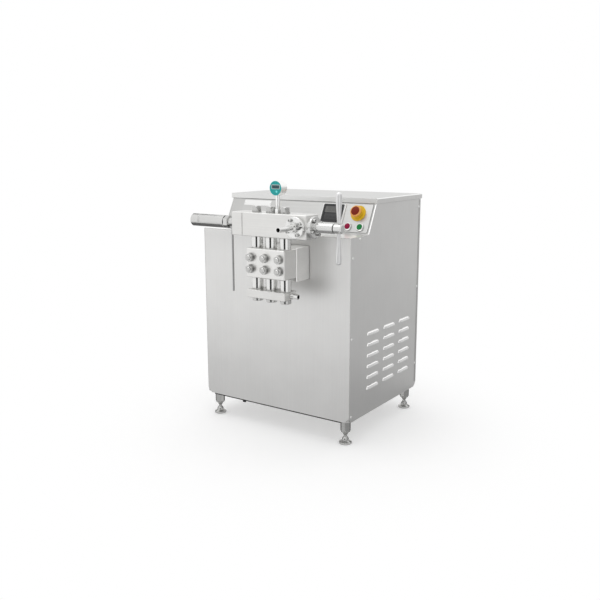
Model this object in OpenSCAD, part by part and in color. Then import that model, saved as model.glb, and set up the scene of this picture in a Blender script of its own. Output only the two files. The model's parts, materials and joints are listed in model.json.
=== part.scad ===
// Pilot dairy homogenizer: a sheet-metal cabinet on levelling feet, with a three-plunger pump head,
// a hand-set homogenizing valve, a relief valve, a pressure gauge and a sloping console.
// Millimetres, +Z up, +Y to the back. The pieces are drawn with the floor at z = 0 and the cabinet's
// front sheet at y = 0, and the whole is then moved so that its origin is the middle of its footprint.

/* [Cabinet] */
// Width over the side panels
cab_w = 620; // [580:1:700]
// Depth over the front and rear panels
cab_d = 507; // [490:1:600]
// Height of the cabinet's underside above the floor
base_z = 85; // [80:1:110]
// Height of the front ledge above the floor
ledge_z = 710; // [690:1:760]
// Depth of the front ledge
ledge_d = 120; // [105:1:135]
// Run of the sloping console, front to back
slope_run = 50; // [48:1:70]
// Rise of the sloping console
slope_rise = 100; // [98:1:130]
// Thickness of the cabinet's sheet
sheet_t = 2; // [1.5:0.1:3]
// Height of the lid's turned-down lip
lid_lip = 18; // [12:1:30]
// How far the lid stands out past the panels
lid_over = 4; // [3.5:0.5:8]
// Thickness of the base pan
pan_t = 4; // [3:0.5:6]
// Side of the square frame tube
tube = 25; // [20:1:28]
// Size of the clipped lower corners of the panels
corner_clip = 16; // [8:1:24]

/* [Louvres] */
// Columns of louvres on the right side panel
louvre_cols = 3; // [1:1:3]
// Rows of louvres
louvre_rows = 6; // [1:1:7]
// Length of a louvre's straight part
louvre_l = 60; // [40:1:70]
// Radius that the louvre's hood is pressed to
louvre_r = 12; // [10:0.5:14]
// How far the hood stands out of the panel
louvre_out = 7; // [5:0.5:9]
// Distance between louvre columns
louvre_dy = 118; // [112:1:120]
// Distance between louvre rows
louvre_dz = 38.5; // [32:0.5:40]

/* [Feet] */
// Distance of a foot's axis from the cabinet's edges
foot_inset = 31; // [25:1:45]
// Diameter of the foot's pad
pad_d = 45; // [38:1:56]
// Diameter of the foot's stem
stem_d = 15; // [12:1:18]
// Diameter of the leg socket
socket_d = 36; // [32:1:42]
// Height of the leg socket
socket_h = 39; // [30:1:40]

/* [Console] */
// Thickness of the raised control plate
plate_t = 3; // [2:0.5:5]
// Distance of the control plate from the cabinet's left side
plate_left = 60; // [30:1:110]
// Distance of the control plate from the cabinet's right side
plate_right = 10; // [6:1:20]
// Width of the panel meter
meter_w = 80; // [72:1:92]
// Height of the panel meter
meter_h = 66; // [48:1:70]
// Distance of the panel meter's middle from the cabinet's right side
meter_in = 160; // [154:1:190]
// Panel meter's place up the slope
meter_s = 68; // [60:1:70]
// Diameter of the stop mushroom
mushroom_d = 40; // [34:1:44]
// Distance of the stop mushroom's middle from the cabinet's right side
stop_in = 60; // [52:1:64]
// Stop mushroom's place up the slope
stop_s = 73; // [72:1:76]
// Push-buttons' place up the slope
button_s = 23; // [22:1:26]
// Diameter of the push-buttons' caps
button_d = 20; // [16:0.5:21]
// Travel of the push-buttons
button_travel = 4; // [2:0.5:5]
// Travel of the stop mushroom
mushroom_travel = 5; // [3:0.5:6]

/* [Pump head] */
// Head's middle, from the cabinet's middle
head_x = 75; // [60:1:85]
// Drop of the plungers below the ledge
head_drop = 84; // [82:1:95]
// Distance between plungers
pitch = 57; // [56:1:60]
// Diameter of a plunger
plunger_d = 20; // [16:1:22]
// Stroke of a plunger
stroke = 30; // [20:1:32]
// Depth of the pump block
block_d = 70; // [64:1:80]
// Height of the pump block
block_h = 96; // [92:1:104]
// Depth of the crosshead housing in front of the cabinet
standoff = 75; // [65:1:90]
// Diameter of the valve sleeves
sleeve_d = 38; // [36:1:42]
// Height of the upper valve sleeves
sleeve_up = 39; // [36:1:46]
// Height of the lower valve sleeves
sleeve_down = 41; // [36:1:46]
// Lift of the pump valves
lift = 4; // [2:0.5:5]
// Height of the discharge block
discharge_h = 77; // [70:1:86]
// Length of the discharge block past the pump block, for the homogenizing valve
valve_len = 84; // [80:1:96]
// Length of the discharge block past the pump block on the relief valve's side
discharge_over = 16; // [8:1:24]
// Height of the suction block
suction_h = 27; // [25:1:34]
// Bevel on the blocks' edges
bevel = 2; // [1:0.5:3]
// Width across the flats of the front nuts
nut_af = 24; // [20:1:26]

/* [Homogenizing valve] */
// Diameter of the outlet and inlet pipes
pipe_d = 17; // [14:0.5:19]
// Wall of the outlet and inlet pipes
pipe_wall = 2; // [1.5:0.5:3]
// Length of the outlet pipe in front of its flange
outlet_l = 83; // [60:1:110]
// Length of the inlet pipe past the suction block
inlet_l = 31; // [20:1:60]
// Diameter of the bolted flanges
flange_d = 68; // [60:1:72]
// Thickness of the bolted flanges
flange_t = 13; // [10:1:16]
// Outer diameter of the spring housing
spring_tube_d = 33; // [31:1:40]
// Length of the spring housing past its flange
spring_tube_l = 68; // [66:1:90]
// Travel of the spring pusher over the handle's three turns
pusher_travel = 6; // [3:0.5:8]
// Length of the T-bar
bar_l = 224; // [160:1:226]
// Diameter of the T-bar at its ends
bar_end_d = 19; // [15:0.5:20]
// Diameter of the T-bar at its middle
bar_mid_d = 11; // [9:0.5:13]

/* [Relief valve] */
// Width of the relief block
relief_w = 44; // [42:1:60]
// Diameter of the relief valve's neck
neck_d = 28; // [26:1:32]
// Length of the relief valve's neck
neck_l = 53; // [50:1:64]
// Diameter of the relief valve's housing
relief_d = 43; // [41:0.5:46]
// Length of the relief valve's housing past its neck
relief_l = 101; // [80:1:110]
// Length of the adjuster cap
cap_l = 40; // [24:1:40]
// Diameter of the drain tube
drain_d = 7; // [6:0.5:10]
// Length of the drain tube
drain_l = 222; // [60:1:260]

/* [Gauge] */
// Diameter of the gauge
gauge_d = 46; // [40:1:54]
// Depth of the gauge
gauge_t = 35; // [24:1:40]
// Height of the gauge's middle above the discharge block
gauge_up = 79; // [60:1:100]

/* [Drive] */
// Diameter of the crank pulley where the belt runs
crank_pulley_d = 140; // [100:1:144]
// Diameter of the motor pulley where the belt runs
motor_pulley_d = 56; // [50:1:70]
// Width of the belt
belt_w = 40; // [25:1:45]
// Thickness of the belt
belt_t = 5; // [4:0.5:7]
// Diameter of the motor
motor_d = 180; // [150:1:190]
// Length of the motor
motor_l = 250; // [200:1:260]

/* [Hidden] */
$fn = 64;

// Clearances: of a running fit on the radius, of a fixed fit on the radius, between pieces that pass
run_fit = 0.05;
seat_fit = 0.05;
pass_gap = 0.4;

// Cabinet levels and half widths
in_x = cab_w / 2 - sheet_t;
in_y = cab_d - sheet_t;
console_z = ledge_z + slope_rise;
lid_z = console_z + lid_lip;
wall_top = lid_z - sheet_t;
slope_y = ledge_d + slope_run;
slope_a = atan2(slope_rise, slope_run);
slope_len = norm([slope_run, slope_rise]);
pan_top = base_z + pan_t;
rail_top = pan_top + tube;

// Middle of the field of louvres
louvre_y = cab_d / 2 + 21;
louvre_z = 271;

// Feet: places of their axes, and the sockets that hold their shanks
foot_x = cab_w / 2 - foot_inset;
feet_at = [[-foot_x, foot_inset], [foot_x, foot_inset], [-foot_x, cab_d - foot_inset],
  [foot_x, cab_d - foot_inset]];
socket_z = base_z - socket_h;
shank_l = socket_h - 4;

// Console pieces
plate_x0 = plate_left - cab_w / 2;
plate_x1 = cab_w / 2 - plate_right;
meter_x = cab_w / 2 - meter_in;
stop_x = cab_w / 2 - stop_in;
stop_button_x = stop_x - 27;
start_button_x = stop_x + 20;
shank_d = button_d + 4;
bezel_h = 6;
bezel_rim = 2.5;
button_tail = -24;
stop_plate_d = 56;
stop_plate_t = 1.5;
stop_collar_d = mushroom_d - 10;
meter_depth = 60;
meter_lip = 3.5;
mushroom_h = 13;
stop_collar_h = 6;
mushroom_up = stop_collar_h + 2 + mushroom_travel;
mushroom_stem_d = 10;
contact_h = 30;
contact_w = 34;

// Pump head levels, all from the plungers' axis
block_w = 2 * pitch + sleeve_d;
head_z = ledge_z - head_drop;
head_y = -standoff - block_d / 2;
block_top = head_z + block_h / 2;
block_bottom = head_z - block_h / 2;
block_front = -standoff - block_d;
head_x0 = head_x - block_w / 2;
head_x1 = head_x + block_w / 2;
discharge_z0 = block_top + sleeve_up;
discharge_z1 = discharge_z0 + discharge_h;
gallery_z = discharge_z0 + discharge_h / 2;
discharge_x0 = head_x0 - discharge_over;
discharge_x1 = head_x1 + valve_len;
suction_z1 = block_bottom - sleeve_down;
suction_z0 = suction_z1 - suction_h;
inlet_z = suction_z0 + suction_h / 2;
lane = [for (i = [-1:1]) head_x + i * pitch];
chamber_d = 18;
gallery_d = 20;
seal_d = plunger_d + 12;
seal_l = 22;
plunger_reach = 7;
nut_row = 19;
nut_t = 12;
stud_d = 14;
stud_depth = 18;
washer_t = 2.5;

// Pump valves inside their sleeves
sleeve_bore = sleeve_d - 16;
seat_web = 8;
seat_d = 14;
valve_d = sleeve_bore - 4;
valve_t = 5;
guide_l = lift + 2;
coil_d = 15;
coil_wire = 1.6;
cap_h = 20;
bottom_cap_h = 14;
cap_af = pitch / 2 - 1;
plug_d = sleeve_d - 2;
cap_shank_d = cap_af - 2;

// Crosshead housing and power end behind the front panel
case_front = 10;
housing_over = 14;
housing_wall = 6;
crosshead_d = plunger_d + 16;
crosshead_l = 36;
guide_depth = crosshead_l + stroke + 4;
crank_y = 140;
case_half_h = 54;
case_x0 = head_x - block_w / 2 - 20;
case_x1 = head_x + block_w / 2 + 20;
case_y1 = crank_y + 62;
crank_shaft_d = 35;
crank_shaft_in = 60;
shaft_end_gap = 2;
pulley_x1 = case_x0 - 18;
pulley_x0 = pulley_x1 - belt_w - 8;
flange_over = 4;
motor_shaft_d = 28;
motor_shaft_in = 80;
motor_height = motor_d / 2 + 12;
motor_z = rail_top + motor_height;
motor_y = 290;
motor_x0 = pulley_x1 + 22;
motor_rails = [motor_x0 + 35, motor_x0 + motor_l - 35 - tube];
stand_x = [case_x0 + 8, case_x1 - 8 - tube];
stand_y = [case_front + tube, case_y1 - 2 * tube];

// Pipes: bore, and the spigot by which each sits in its block
pipe_bore = pipe_d - 2 * pipe_wall;
spigot_d = pipe_d - pipe_wall;
spigot_l = 8;
inlet_spigot_l = 5;

// Homogenizing valve, along +X in the right end of the discharge block
valve_bore = 40;
seat_x = head_x1 + 17;
seat_l = 10;
ring_l = 10;
piston_d = 22;
piston_head_l = 12;
piston_stem_d = 14;
piston_gap = 1;
outlet_x = seat_x + seat_l + ring_l + 10;
bonnet_l = 20;
flange_x1 = discharge_x1 + flange_t;
spring_tube_x1 = flange_x1 + spring_tube_l;
tube_bore = spring_tube_d - 7;
end_wall = 6;
collar_x = flange_x1 + 12;
collar_t = 6;
spindle_d = 12;
thrust_d = 20;
thrust_t = 4;
pusher_t = 12;
thrust_x = spring_tube_x1 - end_wall - thrust_t - pass_gap;
pusher_x = thrust_x - pusher_t - pass_gap;
hub_d = spring_tube_d - 3;
hub_l = 29;
hub_x = spring_tube_x1 + 1;
bar_x = hub_x + hub_l / 2;
bolt_turn = 30;

// Relief valve, along -X from the left end of the discharge block
relief_x = discharge_x0 - relief_w;
neck_x1 = relief_x - neck_l;
relief_x1 = neck_x1 - relief_l;
cap_x1 = relief_x1 - pass_gap - cap_l;
relief_bore = relief_d - 9;
relief_port_d = 10;
poppet_x = discharge_x0 - 18;
poppet_d = 20;
poppet_l = 10;
poppet_lift = 4;
guide_wall = 10;
neck_bore = relief_port_d + 6;
poppet_collar_x = neck_x1 - guide_wall - 9;
poppet_collar_t = 6;
cap_spigot = 15;
drain_x = relief_x - 25;
drain_z = gallery_z - neck_d / 2 + 1;

// Gauge
gauge_x = head_x + pitch / 2;
gauge_z = discharge_z1 + gauge_up;
gauge_front = head_y - 13;

// Middle of the footprint, from the pieces that reach furthest out
reach_x0 = -cab_w / 2 - lid_over;
reach_x1 = hub_x + hub_l;
reach_y0 = block_front - flange_t - outlet_l;
reach_y1 = cab_d + lid_over;
origin = [-(reach_x0 + reach_x1) / 2, -(reach_y0 + reach_y1) / 2, 0];

// Rod along X between two places, on the line y, z
module rod_x(x0, x1, d, y = head_y, z = gallery_z)
  translate([x0, y, z]) rotate([0, 90, 0]) cylinder(d = d, h = x1 - x0);

// Rod along Y between two places, on the line x, z
module rod_y(y0, y1, d, x = head_x, z = head_z)
  translate([x, y1, z]) rotate([90, 0, 0]) cylinder(d = d, h = y1 - y0);

// Hexagon prism along Z, by its width across the flats
module hexagon(af, h) cylinder(d = af / cos(30), h = h, $fn = 6);

// Rectangle with bevelled corners, from the origin
module bevel_rect(a, b, c)
  polygon([[c, 0], [a - c, 0], [a, c], [a, b - c], [a - c, b], [c, b], [0, b - c], [0, c]]);

// Block with all twelve edges bevelled, from the corner p
module bevel_block(p, s, c = bevel)
  translate(p) intersection() {
    linear_extrude(s[2]) bevel_rect(s[0], s[1], c);
    translate([0, s[1], 0]) rotate([90, 0, 0]) linear_extrude(s[1]) bevel_rect(s[0], s[2], c);
    rotate([90, 0, 90]) linear_extrude(s[0]) bevel_rect(s[1], s[2], c);
  }

// Places a piece on the console: x across, s up the slope, h out of it
module on_slope(x, s, h = 0)
  translate([x, ledge_d, ledge_z]) rotate([slope_a, 0, 0]) translate([0, s, h]) children();

// Cylinder along the console's normal between two heights
module post(h0, h1, d) translate([0, 0, h0]) cylinder(d = d, h = h1 - h0);

// Coil spring along Z as one swept wire
function coil_point(t, turns, h, d) = [d / 2 * cos(360 * turns * t), d / 2 * sin(360 * turns * t), h * t];
module coil(d, wire, h, turns, steps = 10, sides = 6) {
  rings = ceil(turns * steps);
  points = [for (i = [0:rings])
    let (a = 360 * turns * i / rings, c = coil_point(i / rings, turns, h - wire, d))
    for (j = [0:sides - 1]) let (b = 360 * j / sides)
      c + [cos(a) * cos(b), sin(a) * cos(b), sin(b)] * wire / 2 + [0, 0, wire / 2]];
  walls = [for (i = [0:rings - 1], j = [0:sides - 1]) let (k = (j + 1) % sides)
    [i * sides + j, (i + 1) * sides + j, (i + 1) * sides + k, i * sides + k]];
  first = [for (j = [0:sides - 1]) j];
  last = [for (j = [sides - 1:-1:0]) rings * sides + j];
  polyhedron(points, concat(walls, [first, last]), convexity = 8);
}

// Outline of a side panel, y across and z up
module side_outline()
  polygon([[corner_clip, base_z], [cab_d - corner_clip, base_z], [cab_d, base_z + corner_clip],
    [cab_d, wall_top], [slope_y, wall_top], [slope_y, console_z], [ledge_d, ledge_z], [0, ledge_z],
    [0, base_z + corner_clip]]);

module side_sheet(x) translate([x, 0, 0]) rotate([90, 0, 90]) linear_extrude(sheet_t) side_outline();

// The holes that the console's pieces pass through
module console_holes() {
  for (p = [[stop_x, stop_s], [stop_button_x, button_s], [start_button_x, button_s]])
    on_slope(p[0], p[1]) post(-20, 20, shank_d + 2 * seat_fit);
  on_slope(meter_x, meter_s) cube([meter_w - 2 * meter_lip, meter_h - 2 * meter_lip, 40], center = true);
}

module base_pan()
  color("gainsboro") translate([-in_x, sheet_t, base_z]) difference() {
    cube([2 * in_x, in_y - sheet_t, pan_t]);
    for (x = [0, 2 * in_x], y = [0, in_y - sheet_t])
      translate([x, y, -1]) rotate(45) cube([corner_clip, corner_clip, 2 * pan_t + 4], center = true);
  }

module leg_sockets()
  color("silver") for (p = feet_at) translate([p[0], p[1], socket_z]) difference() {
    union() {
      cylinder(d1 = socket_d - 4, d2 = socket_d, h = 2);
      translate([0, 0, 2]) cylinder(d = socket_d, h = socket_h - 2);
    }
    translate([0, 0, -1]) cylinder(d = stem_d + 2 * run_fit, h = shank_l + 2);
  }

// Levelling foot: pad, ball, neck, cone and the shank in its socket
module foot(i) {
  pad_rim = 7;
  ball_r = stem_d / 2 + 5;
  ball_z = 13;
  neck_r = stem_d / 2 - 1.5;
  neck_z = 28;
  cone_r = socket_d / 2 - 2;
  cone_z = socket_z - pass_gap;
  ball = [for (a = [0:15:60]) [ball_r * cos(a), ball_z + (neck_z - ball_z) * sin(a)]];
  color("silver") translate(feet_at[i]) rotate_extrude()
    polygon(concat([[0, 0], [pad_d / 2 - 1.5, 0], [pad_d / 2, 1.5], [pad_d / 2, pad_rim],
      [ball_r + 3, pad_rim + 4]], ball, [[neck_r, neck_z], [neck_r, neck_z + 3], [cone_r, cone_z - 2],
      [cone_r, cone_z], [stem_d / 2, cone_z], [stem_d / 2, socket_z + shank_l], [0, socket_z + shank_l]]));
}

// Square tubes: corner posts, two levels of rails, the stand under the crankcase and the motor rails
module cabinet_frame() {
  deck_z = head_z - case_half_h - tube;
  rear_y = in_y - tube;
  side_l = rear_y - sheet_t - tube;
  cross_l = 2 * (in_x - tube);
  color("slategray") {
    for (x = [-in_x, in_x - tube]) {
      translate([x, sheet_t, pan_top]) cube([tube, tube, ledge_z - sheet_t - pan_top]);
      translate([x, rear_y, pan_top]) cube([tube, tube, wall_top - pan_top]);
      for (z = [pan_top, deck_z]) translate([x, sheet_t + tube, z]) cube([tube, side_l, tube]);
    }
    for (p = [[sheet_t, pan_top], [rear_y, pan_top], [sheet_t, ledge_z - sheet_t - tube],
      [rear_y, wall_top - tube], [rear_y, deck_z]])
      translate([tube - in_x, p[0], p[1]]) cube([cross_l, tube, tube]);
    for (x = stand_x, y = stand_y)
      translate([x, y, pan_top]) cube([tube, tube, head_z - case_half_h - pan_top]);
    for (y = stand_y)
      translate([stand_x[0] + tube, y, deck_z]) cube([stand_x[1] - stand_x[0] - tube, tube, tube]);
    for (x = motor_rails) translate([x, sheet_t + tube, pan_top]) cube([tube, side_l, tube]);
  }
}

module front_panel()
  color("lightgray") difference() {
    translate([0, sheet_t, 0]) rotate([90, 0, 0]) linear_extrude(sheet_t)
      polygon([[corner_clip - in_x, base_z], [in_x - corner_clip, base_z], [in_x, base_z + corner_clip],
        [in_x, ledge_z - sheet_t], [-in_x, ledge_z - sheet_t], [-in_x, base_z + corner_clip]]);
    translate([head_x0 - pass_gap, -1, block_bottom - housing_over - pass_gap])
      cube([block_w + 2 * pass_gap, sheet_t + 2, block_h + housing_over + 2 + 2 * pass_gap]);
  }

module left_side_panel() color("gainsboro") side_sheet(-cab_w / 2);

// Round-ended bar along Y that a louvre's hood is pressed over
module louvre_form(r, l)
  rotate([90, 0, 0]) rotate_extrude() intersection() {
    union() {
      for (y = [-l / 2, l / 2]) translate([0, y]) circle(r = r);
      translate([-r, -l / 2]) square([2 * r, l]);
    }
    translate([0, -l]) square([r, 2 * l]);
  }

// Keeps the part of a hood above its open lower edge and outside the panel's inner face
module louvre_half(l, in)
  translate([louvre_r - louvre_out - in, -l, 0]) cube([2 * louvre_r, 2 * l, 2 * louvre_r]);

module right_side_panel() {
  places = [for (i = [0:louvre_cols - 1], j = [0:louvre_rows - 1])
    [cab_w / 2 - louvre_r + louvre_out, louvre_y + (i - (louvre_cols - 1) / 2) * louvre_dy,
      louvre_z + (j - (louvre_rows - 1) / 2) * louvre_dz]];
  color("silver") {
    difference() {
      side_sheet(in_x);
      for (p = places) translate(p) intersection() {
        louvre_form(louvre_r - sheet_t, louvre_l);
        louvre_half(louvre_l, 2 * sheet_t);
      }
    }
    for (p = places) translate(p) difference() {
      intersection() {
        louvre_form(louvre_r, louvre_l);
        louvre_half(louvre_l, 0);
      }
      louvre_form(louvre_r - sheet_t, louvre_l);
    }
  }
}

module rear_panel()
  color("gainsboro") translate([0, cab_d, 0]) rotate([90, 0, 0]) linear_extrude(sheet_t)
    polygon([[corner_clip - in_x, base_z], [in_x - corner_clip, base_z], [in_x, base_z + corner_clip],
      [in_x, wall_top], [-in_x, wall_top], [-in_x, base_z + corner_clip]]);

// One bent sheet: ledge, slope and the riser that the lid's front lip hides
module console_panel() {
  bend = sheet_t * tan(slope_a / 2);
  knee = sheet_t * tan((90 - slope_a) / 2);
  color("gainsboro") difference() {
    translate([-in_x, 0, 0]) rotate([90, 0, 90]) linear_extrude(2 * in_x)
      polygon([[0, ledge_z - sheet_t], [ledge_d + bend, ledge_z - sheet_t],
        [slope_y + sheet_t, console_z - knee], [slope_y + sheet_t, wall_top], [slope_y, wall_top],
        [slope_y, console_z], [ledge_d, ledge_z], [0, ledge_z]]);
    console_holes();
  }
}

module control_plate() {
  edge = 5;
  color("whitesmoke") difference() {
    on_slope(plate_x0, edge) linear_extrude(plate_t)
      bevel_rect(plate_x1 - plate_x0, slope_len - 2 * edge, 3);
    console_holes();
  }
}

module top_lid() {
  inner = [cab_w + 2 * (lid_over - sheet_t), cab_d - slope_y + 2 * (lid_over - sheet_t)];
  color("lightgray") translate([-cab_w / 2 - lid_over, slope_y - lid_over, console_z]) difference() {
    cube([cab_w + 2 * lid_over, cab_d - slope_y + 2 * lid_over, lid_lip]);
    translate([sheet_t, sheet_t, -1]) cube([inner[0], inner[1], lid_lip + 1 - sheet_t]);
  }
}

module panel_meter() {
  body = [meter_w - 2 * meter_lip - 2 * seat_fit, meter_h - 2 * meter_lip - 2 * seat_fit];
  rim_h = 6;
  window = 8;
  color("dimgray") on_slope(meter_x, meter_s, plate_t) difference() {
    union() {
      translate([-meter_w / 2, -meter_h / 2, 0]) linear_extrude(rim_h) bevel_rect(meter_w, meter_h, 3);
      translate([-body[0] / 2, -body[1] / 2, -meter_depth]) cube([body[0], body[1], meter_depth]);
    }
    translate([window - meter_w / 2, window - meter_h / 2, rim_h - 2])
      cube([meter_w - 2 * window, meter_h - 2 * window, 3]);
  }
}

// Contact block behind the console, around the stem of a button
module contact_block(h0)
  translate([-contact_w / 2, -contact_w / 2, h0]) cube([contact_w, contact_w, contact_h]);

module estop_base() {
  tail = -16;
  color("gold") on_slope(stop_x, stop_s, plate_t) difference() {
    union() {
      post(0, stop_plate_t, stop_plate_d);
      post(0, stop_collar_h, stop_collar_d);
      post(tail, 0, shank_d);
      contact_block(tail - contact_h);
    }
    post(tail - contact_h + 6, stop_collar_h + 1, mushroom_stem_d + 2 * run_fit);
  }
}

module estop_stem()
  color("gray") on_slope(stop_x, stop_s, plate_t) post(-30, mushroom_up + mushroom_h / 2, mushroom_stem_d);

module estop_head() {
  r = mushroom_d / 2;
  dome = 3 * r;
  socket = mushroom_stem_d + 2 * run_fit;
  color("red") on_slope(stop_x, stop_s, plate_t) translate([0, 0, mushroom_up]) difference() {
    intersection() {
      rotate_extrude() polygon([[0, 0], [r - 5, 0], [r, 4], [r, mushroom_h], [0, mushroom_h]]);
      translate([0, 0, mushroom_h - dome]) sphere(r = dome, $fn = 96);
    }
    post(-1, mushroom_h / 2 + pass_gap, socket);
  }
}

module button_bezels()
  color("silver") for (x = [stop_button_x, start_button_x]) on_slope(x, button_s, plate_t) difference() {
    union() {
      rotate_extrude() polygon([[0, 0], [shank_d / 2 + bezel_rim, 0], [shank_d / 2 + bezel_rim, 2],
        [shank_d / 2 + 1, bezel_h], [0, bezel_h]]);
      post(button_tail, 0, shank_d);
      contact_block(button_tail - contact_h);
    }
    post(button_tail, bezel_h + 1, button_d + 2 * run_fit);
  }

// Push-button cap with a softly crowned top
module button_cap(x) {
  top = bezel_h + button_travel - 1;
  on_slope(x, button_s, plate_t) intersection() {
    post(button_tail + button_travel + 2, top, button_d);
    translate([0, 0, top - 2 * button_d]) sphere(r = 2 * button_d, $fn = 96);
  }
}

module start_button() color("green") button_cap(start_button_x);
module stop_button() color("crimson") button_cap(stop_button_x);

// Motor with ribbed barrel, end bells, feet on the rails and a terminal box
module motor() {
  bell = 24;
  rib = 4;
  foot_w = motor_d + 30;
  box = [80, 60, 40];
  color("steelblue") difference() {
    union() {
      rod_x(motor_x0 + bell, motor_x0 + motor_l, motor_d - 2 * rib, motor_y, motor_z);
      rod_x(motor_x0, motor_x0 + bell, motor_d - 24, motor_y, motor_z);
      for (i = [0:8]) translate([motor_x0 + bell + 8 + i * 22, 0, 0])
        rod_x(0, 8, motor_d, motor_y, motor_z);
      for (x = motor_rails) {
        translate([x, motor_y - foot_w / 2, rail_top]) cube([tube, foot_w, 12]);
        translate([x, motor_y - motor_d / 4, rail_top]) cube([tube, motor_d / 2, motor_height / 2]);
      }
      translate([motor_x0 + (motor_l - box[0]) / 2, motor_y - box[1] / 2, motor_z + motor_d / 2 - 20])
        cube(box);
    }
    rod_x(motor_x0 - 1, motor_x0 + motor_shaft_in + shaft_end_gap, motor_shaft_d + 2 * run_fit,
      motor_y, motor_z);
  }
}

// Flat-belt pulley with two flanges, from x0 along +X
module pulley(d, y, z) {
  rim = 4;
  rod_x(pulley_x0, pulley_x1, d, y, z);
  for (x = [pulley_x0, pulley_x1 - rim]) rod_x(x, x + rim, d + 2 * belt_t + 2 * flange_over, y, z);
}

module motor_pulley()
  color("dimgray") {
    pulley(motor_pulley_d, motor_y, motor_z);
    rod_x(pulley_x1, motor_x0 + motor_shaft_in, motor_shaft_d, motor_y, motor_z);
  }

module crank_pulley() {
  web_hole = 26;
  color("dimgray") {
    difference() {
      pulley(crank_pulley_d, crank_y, head_z);
      for (a = [0:60:300]) translate([pulley_x0 - 1, crank_y, head_z]) rotate([a, 0, 0])
        translate([0, crank_pulley_d * 0.31, 0]) rotate([0, 90, 0]) cylinder(d = web_hole, h = belt_w + 12);
    }
    rod_x(pulley_x1, case_x0 + crank_shaft_in, crank_shaft_d, crank_y, head_z);
  }
}

// Belt around both pulleys: two arcs and the straight runs between their tangent points
module drive_belt() {
  run = [motor_y - crank_y, motor_z - head_z];
  far = norm(run);
  r0 = crank_pulley_d / 2 + pass_gap;
  r1 = motor_pulley_d / 2 + pass_gap;
  lean = acos((r0 - r1) / far);
  turn = atan2(run[1], run[0]);
  edge = (pulley_x1 - pulley_x0 - belt_w) / 2;
  color("black") translate([pulley_x0 + edge, crank_y, head_z]) rotate([90, 0, 90]) linear_extrude(belt_w)
    rotate(turn) difference() {
      belt_outline(r0 + belt_t, r1 + belt_t, far, lean);
      belt_outline(r0, r1, far, lean);
    }
}

function arc(x, r, a0, a1, n = 32) =
  [for (i = [0:n]) let (a = a0 + (a1 - a0) * i / n) [x + r * cos(a), r * sin(a)]];
module belt_outline(r0, r1, far, lean)
  polygon(concat(arc(0, r0, lean, 360 - lean), arc(far, r1, -lean, lean)));

// Closed cast housing of the crank drive, with guide bores for the crossheads
module crankcase() {
  cover_t = 10;
  color("slategray") difference() {
    union() {
      bevel_block([case_x0, case_front, head_z - case_half_h],
        [case_x1 - case_x0, case_y1 - case_front, 2 * case_half_h - cover_t], 4);
      bevel_block([case_x0 + 12, case_front + 40, head_z + case_half_h - cover_t - 1],
        [case_x1 - case_x0 - 24, case_y1 - case_front - 52, cover_t + 1], 2);
      rod_x(case_x0 - 10, case_x0 + 10, crank_shaft_d + 40, crank_y, head_z);
    }
    for (x = lane) rod_y(case_front - 1, case_front + guide_depth, crosshead_d + 2 * run_fit, x);
    rod_x(case_x0 - 11, case_x0 + crank_shaft_in + shaft_end_gap, crank_shaft_d + 2 * run_fit,
      crank_y, head_z);
  }
}

// Hollow housing between the pump block and the crankcase
module crosshead_housing() {
  z0 = block_bottom - housing_over;
  h = block_h + housing_over + 2;
  front_wall = 14;
  color("lightgray") difference() {
    bevel_block([head_x0, -standoff, z0], [block_w, standoff + case_front, h]);
    translate([head_x0 + housing_wall, front_wall - standoff, z0 + housing_wall])
      cube([block_w - 2 * housing_wall, standoff + case_front, h - 2 * housing_wall]);
    for (x = lane) rod_y(-standoff - 1, 0, plunger_d + 2, x);
  }
}

module pump_block()
  color("whitesmoke") difference() {
    bevel_block([head_x0, block_front, block_bottom], [block_w, block_d, block_h]);
    for (x = lane) {
      rod_y(head_y - plunger_reach - stroke / 2 - 1, 0, plunger_d + 2 * run_fit, x);
      rod_y(-standoff - seal_l, 0, seal_d, x);
      translate([x, head_y, block_bottom - 1]) cylinder(d = chamber_d, h = block_h + 2);
      for (z = [-nut_row, nut_row])
        rod_y(block_front - 1, block_front + stud_depth + 1, stud_d + 2 * seat_fit, x, head_z + z);
    }
  }

module discharge_block()
  color("whitesmoke") difference() {
    bevel_block([discharge_x0, block_front, discharge_z0],
      [discharge_x1 - discharge_x0, block_d, discharge_h]);
    rod_x(discharge_x0 - 1, seat_x + 1, gallery_d);
    rod_x(seat_x, discharge_x1 + 1, valve_bore);
    rod_y(block_front - 1, head_y, pipe_bore, outlet_x, gallery_z);
    rod_y(block_front - 1, block_front + spigot_l, spigot_d + 2 * seat_fit, outlet_x, gallery_z);
    for (x = lane) {
      translate([x, head_y, discharge_z0 - 1]) cylinder(d = chamber_d, h = discharge_h / 2);
      translate([x, head_y, gallery_z]) cylinder(d = cap_shank_d, h = discharge_h);
    }
    translate([gauge_x, head_y, gallery_z]) cylinder(d = 8, h = discharge_h);
  }

module suction_block()
  color("whitesmoke") difference() {
    bevel_block([head_x0, block_front, suction_z0], [block_w, block_d, suction_h]);
    rod_x(lane[0] - 12, head_x1 + 1, pipe_bore, head_y, inlet_z);
    rod_x(head_x1 - inlet_spigot_l, head_x1 + 1, spigot_d + 2 * seat_fit, head_y, inlet_z);
    for (x = lane) {
      translate([x, head_y, inlet_z]) cylinder(d = seat_d, h = suction_h);
      translate([x, head_y, suction_z0 - 1]) cylinder(d = cap_shank_d, h = suction_h / 2 - 2);
    }
  }

// Valve sleeve with its seat at the lower end, standing on z0
module valve_sleeve(x, z0, h)
  translate([x, head_y, z0]) difference() {
    cylinder(d = sleeve_d, h = h);
    translate([0, 0, -1]) cylinder(d = seat_d, h = h);
    translate([0, 0, seat_web]) cylinder(d = sleeve_bore, h = h);
  }

module valve_sleeves()
  color("silver") for (x = lane) {
    valve_sleeve(x, block_top, sleeve_up);
    valve_sleeve(x, suction_z1, sleeve_down);
  }

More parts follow.
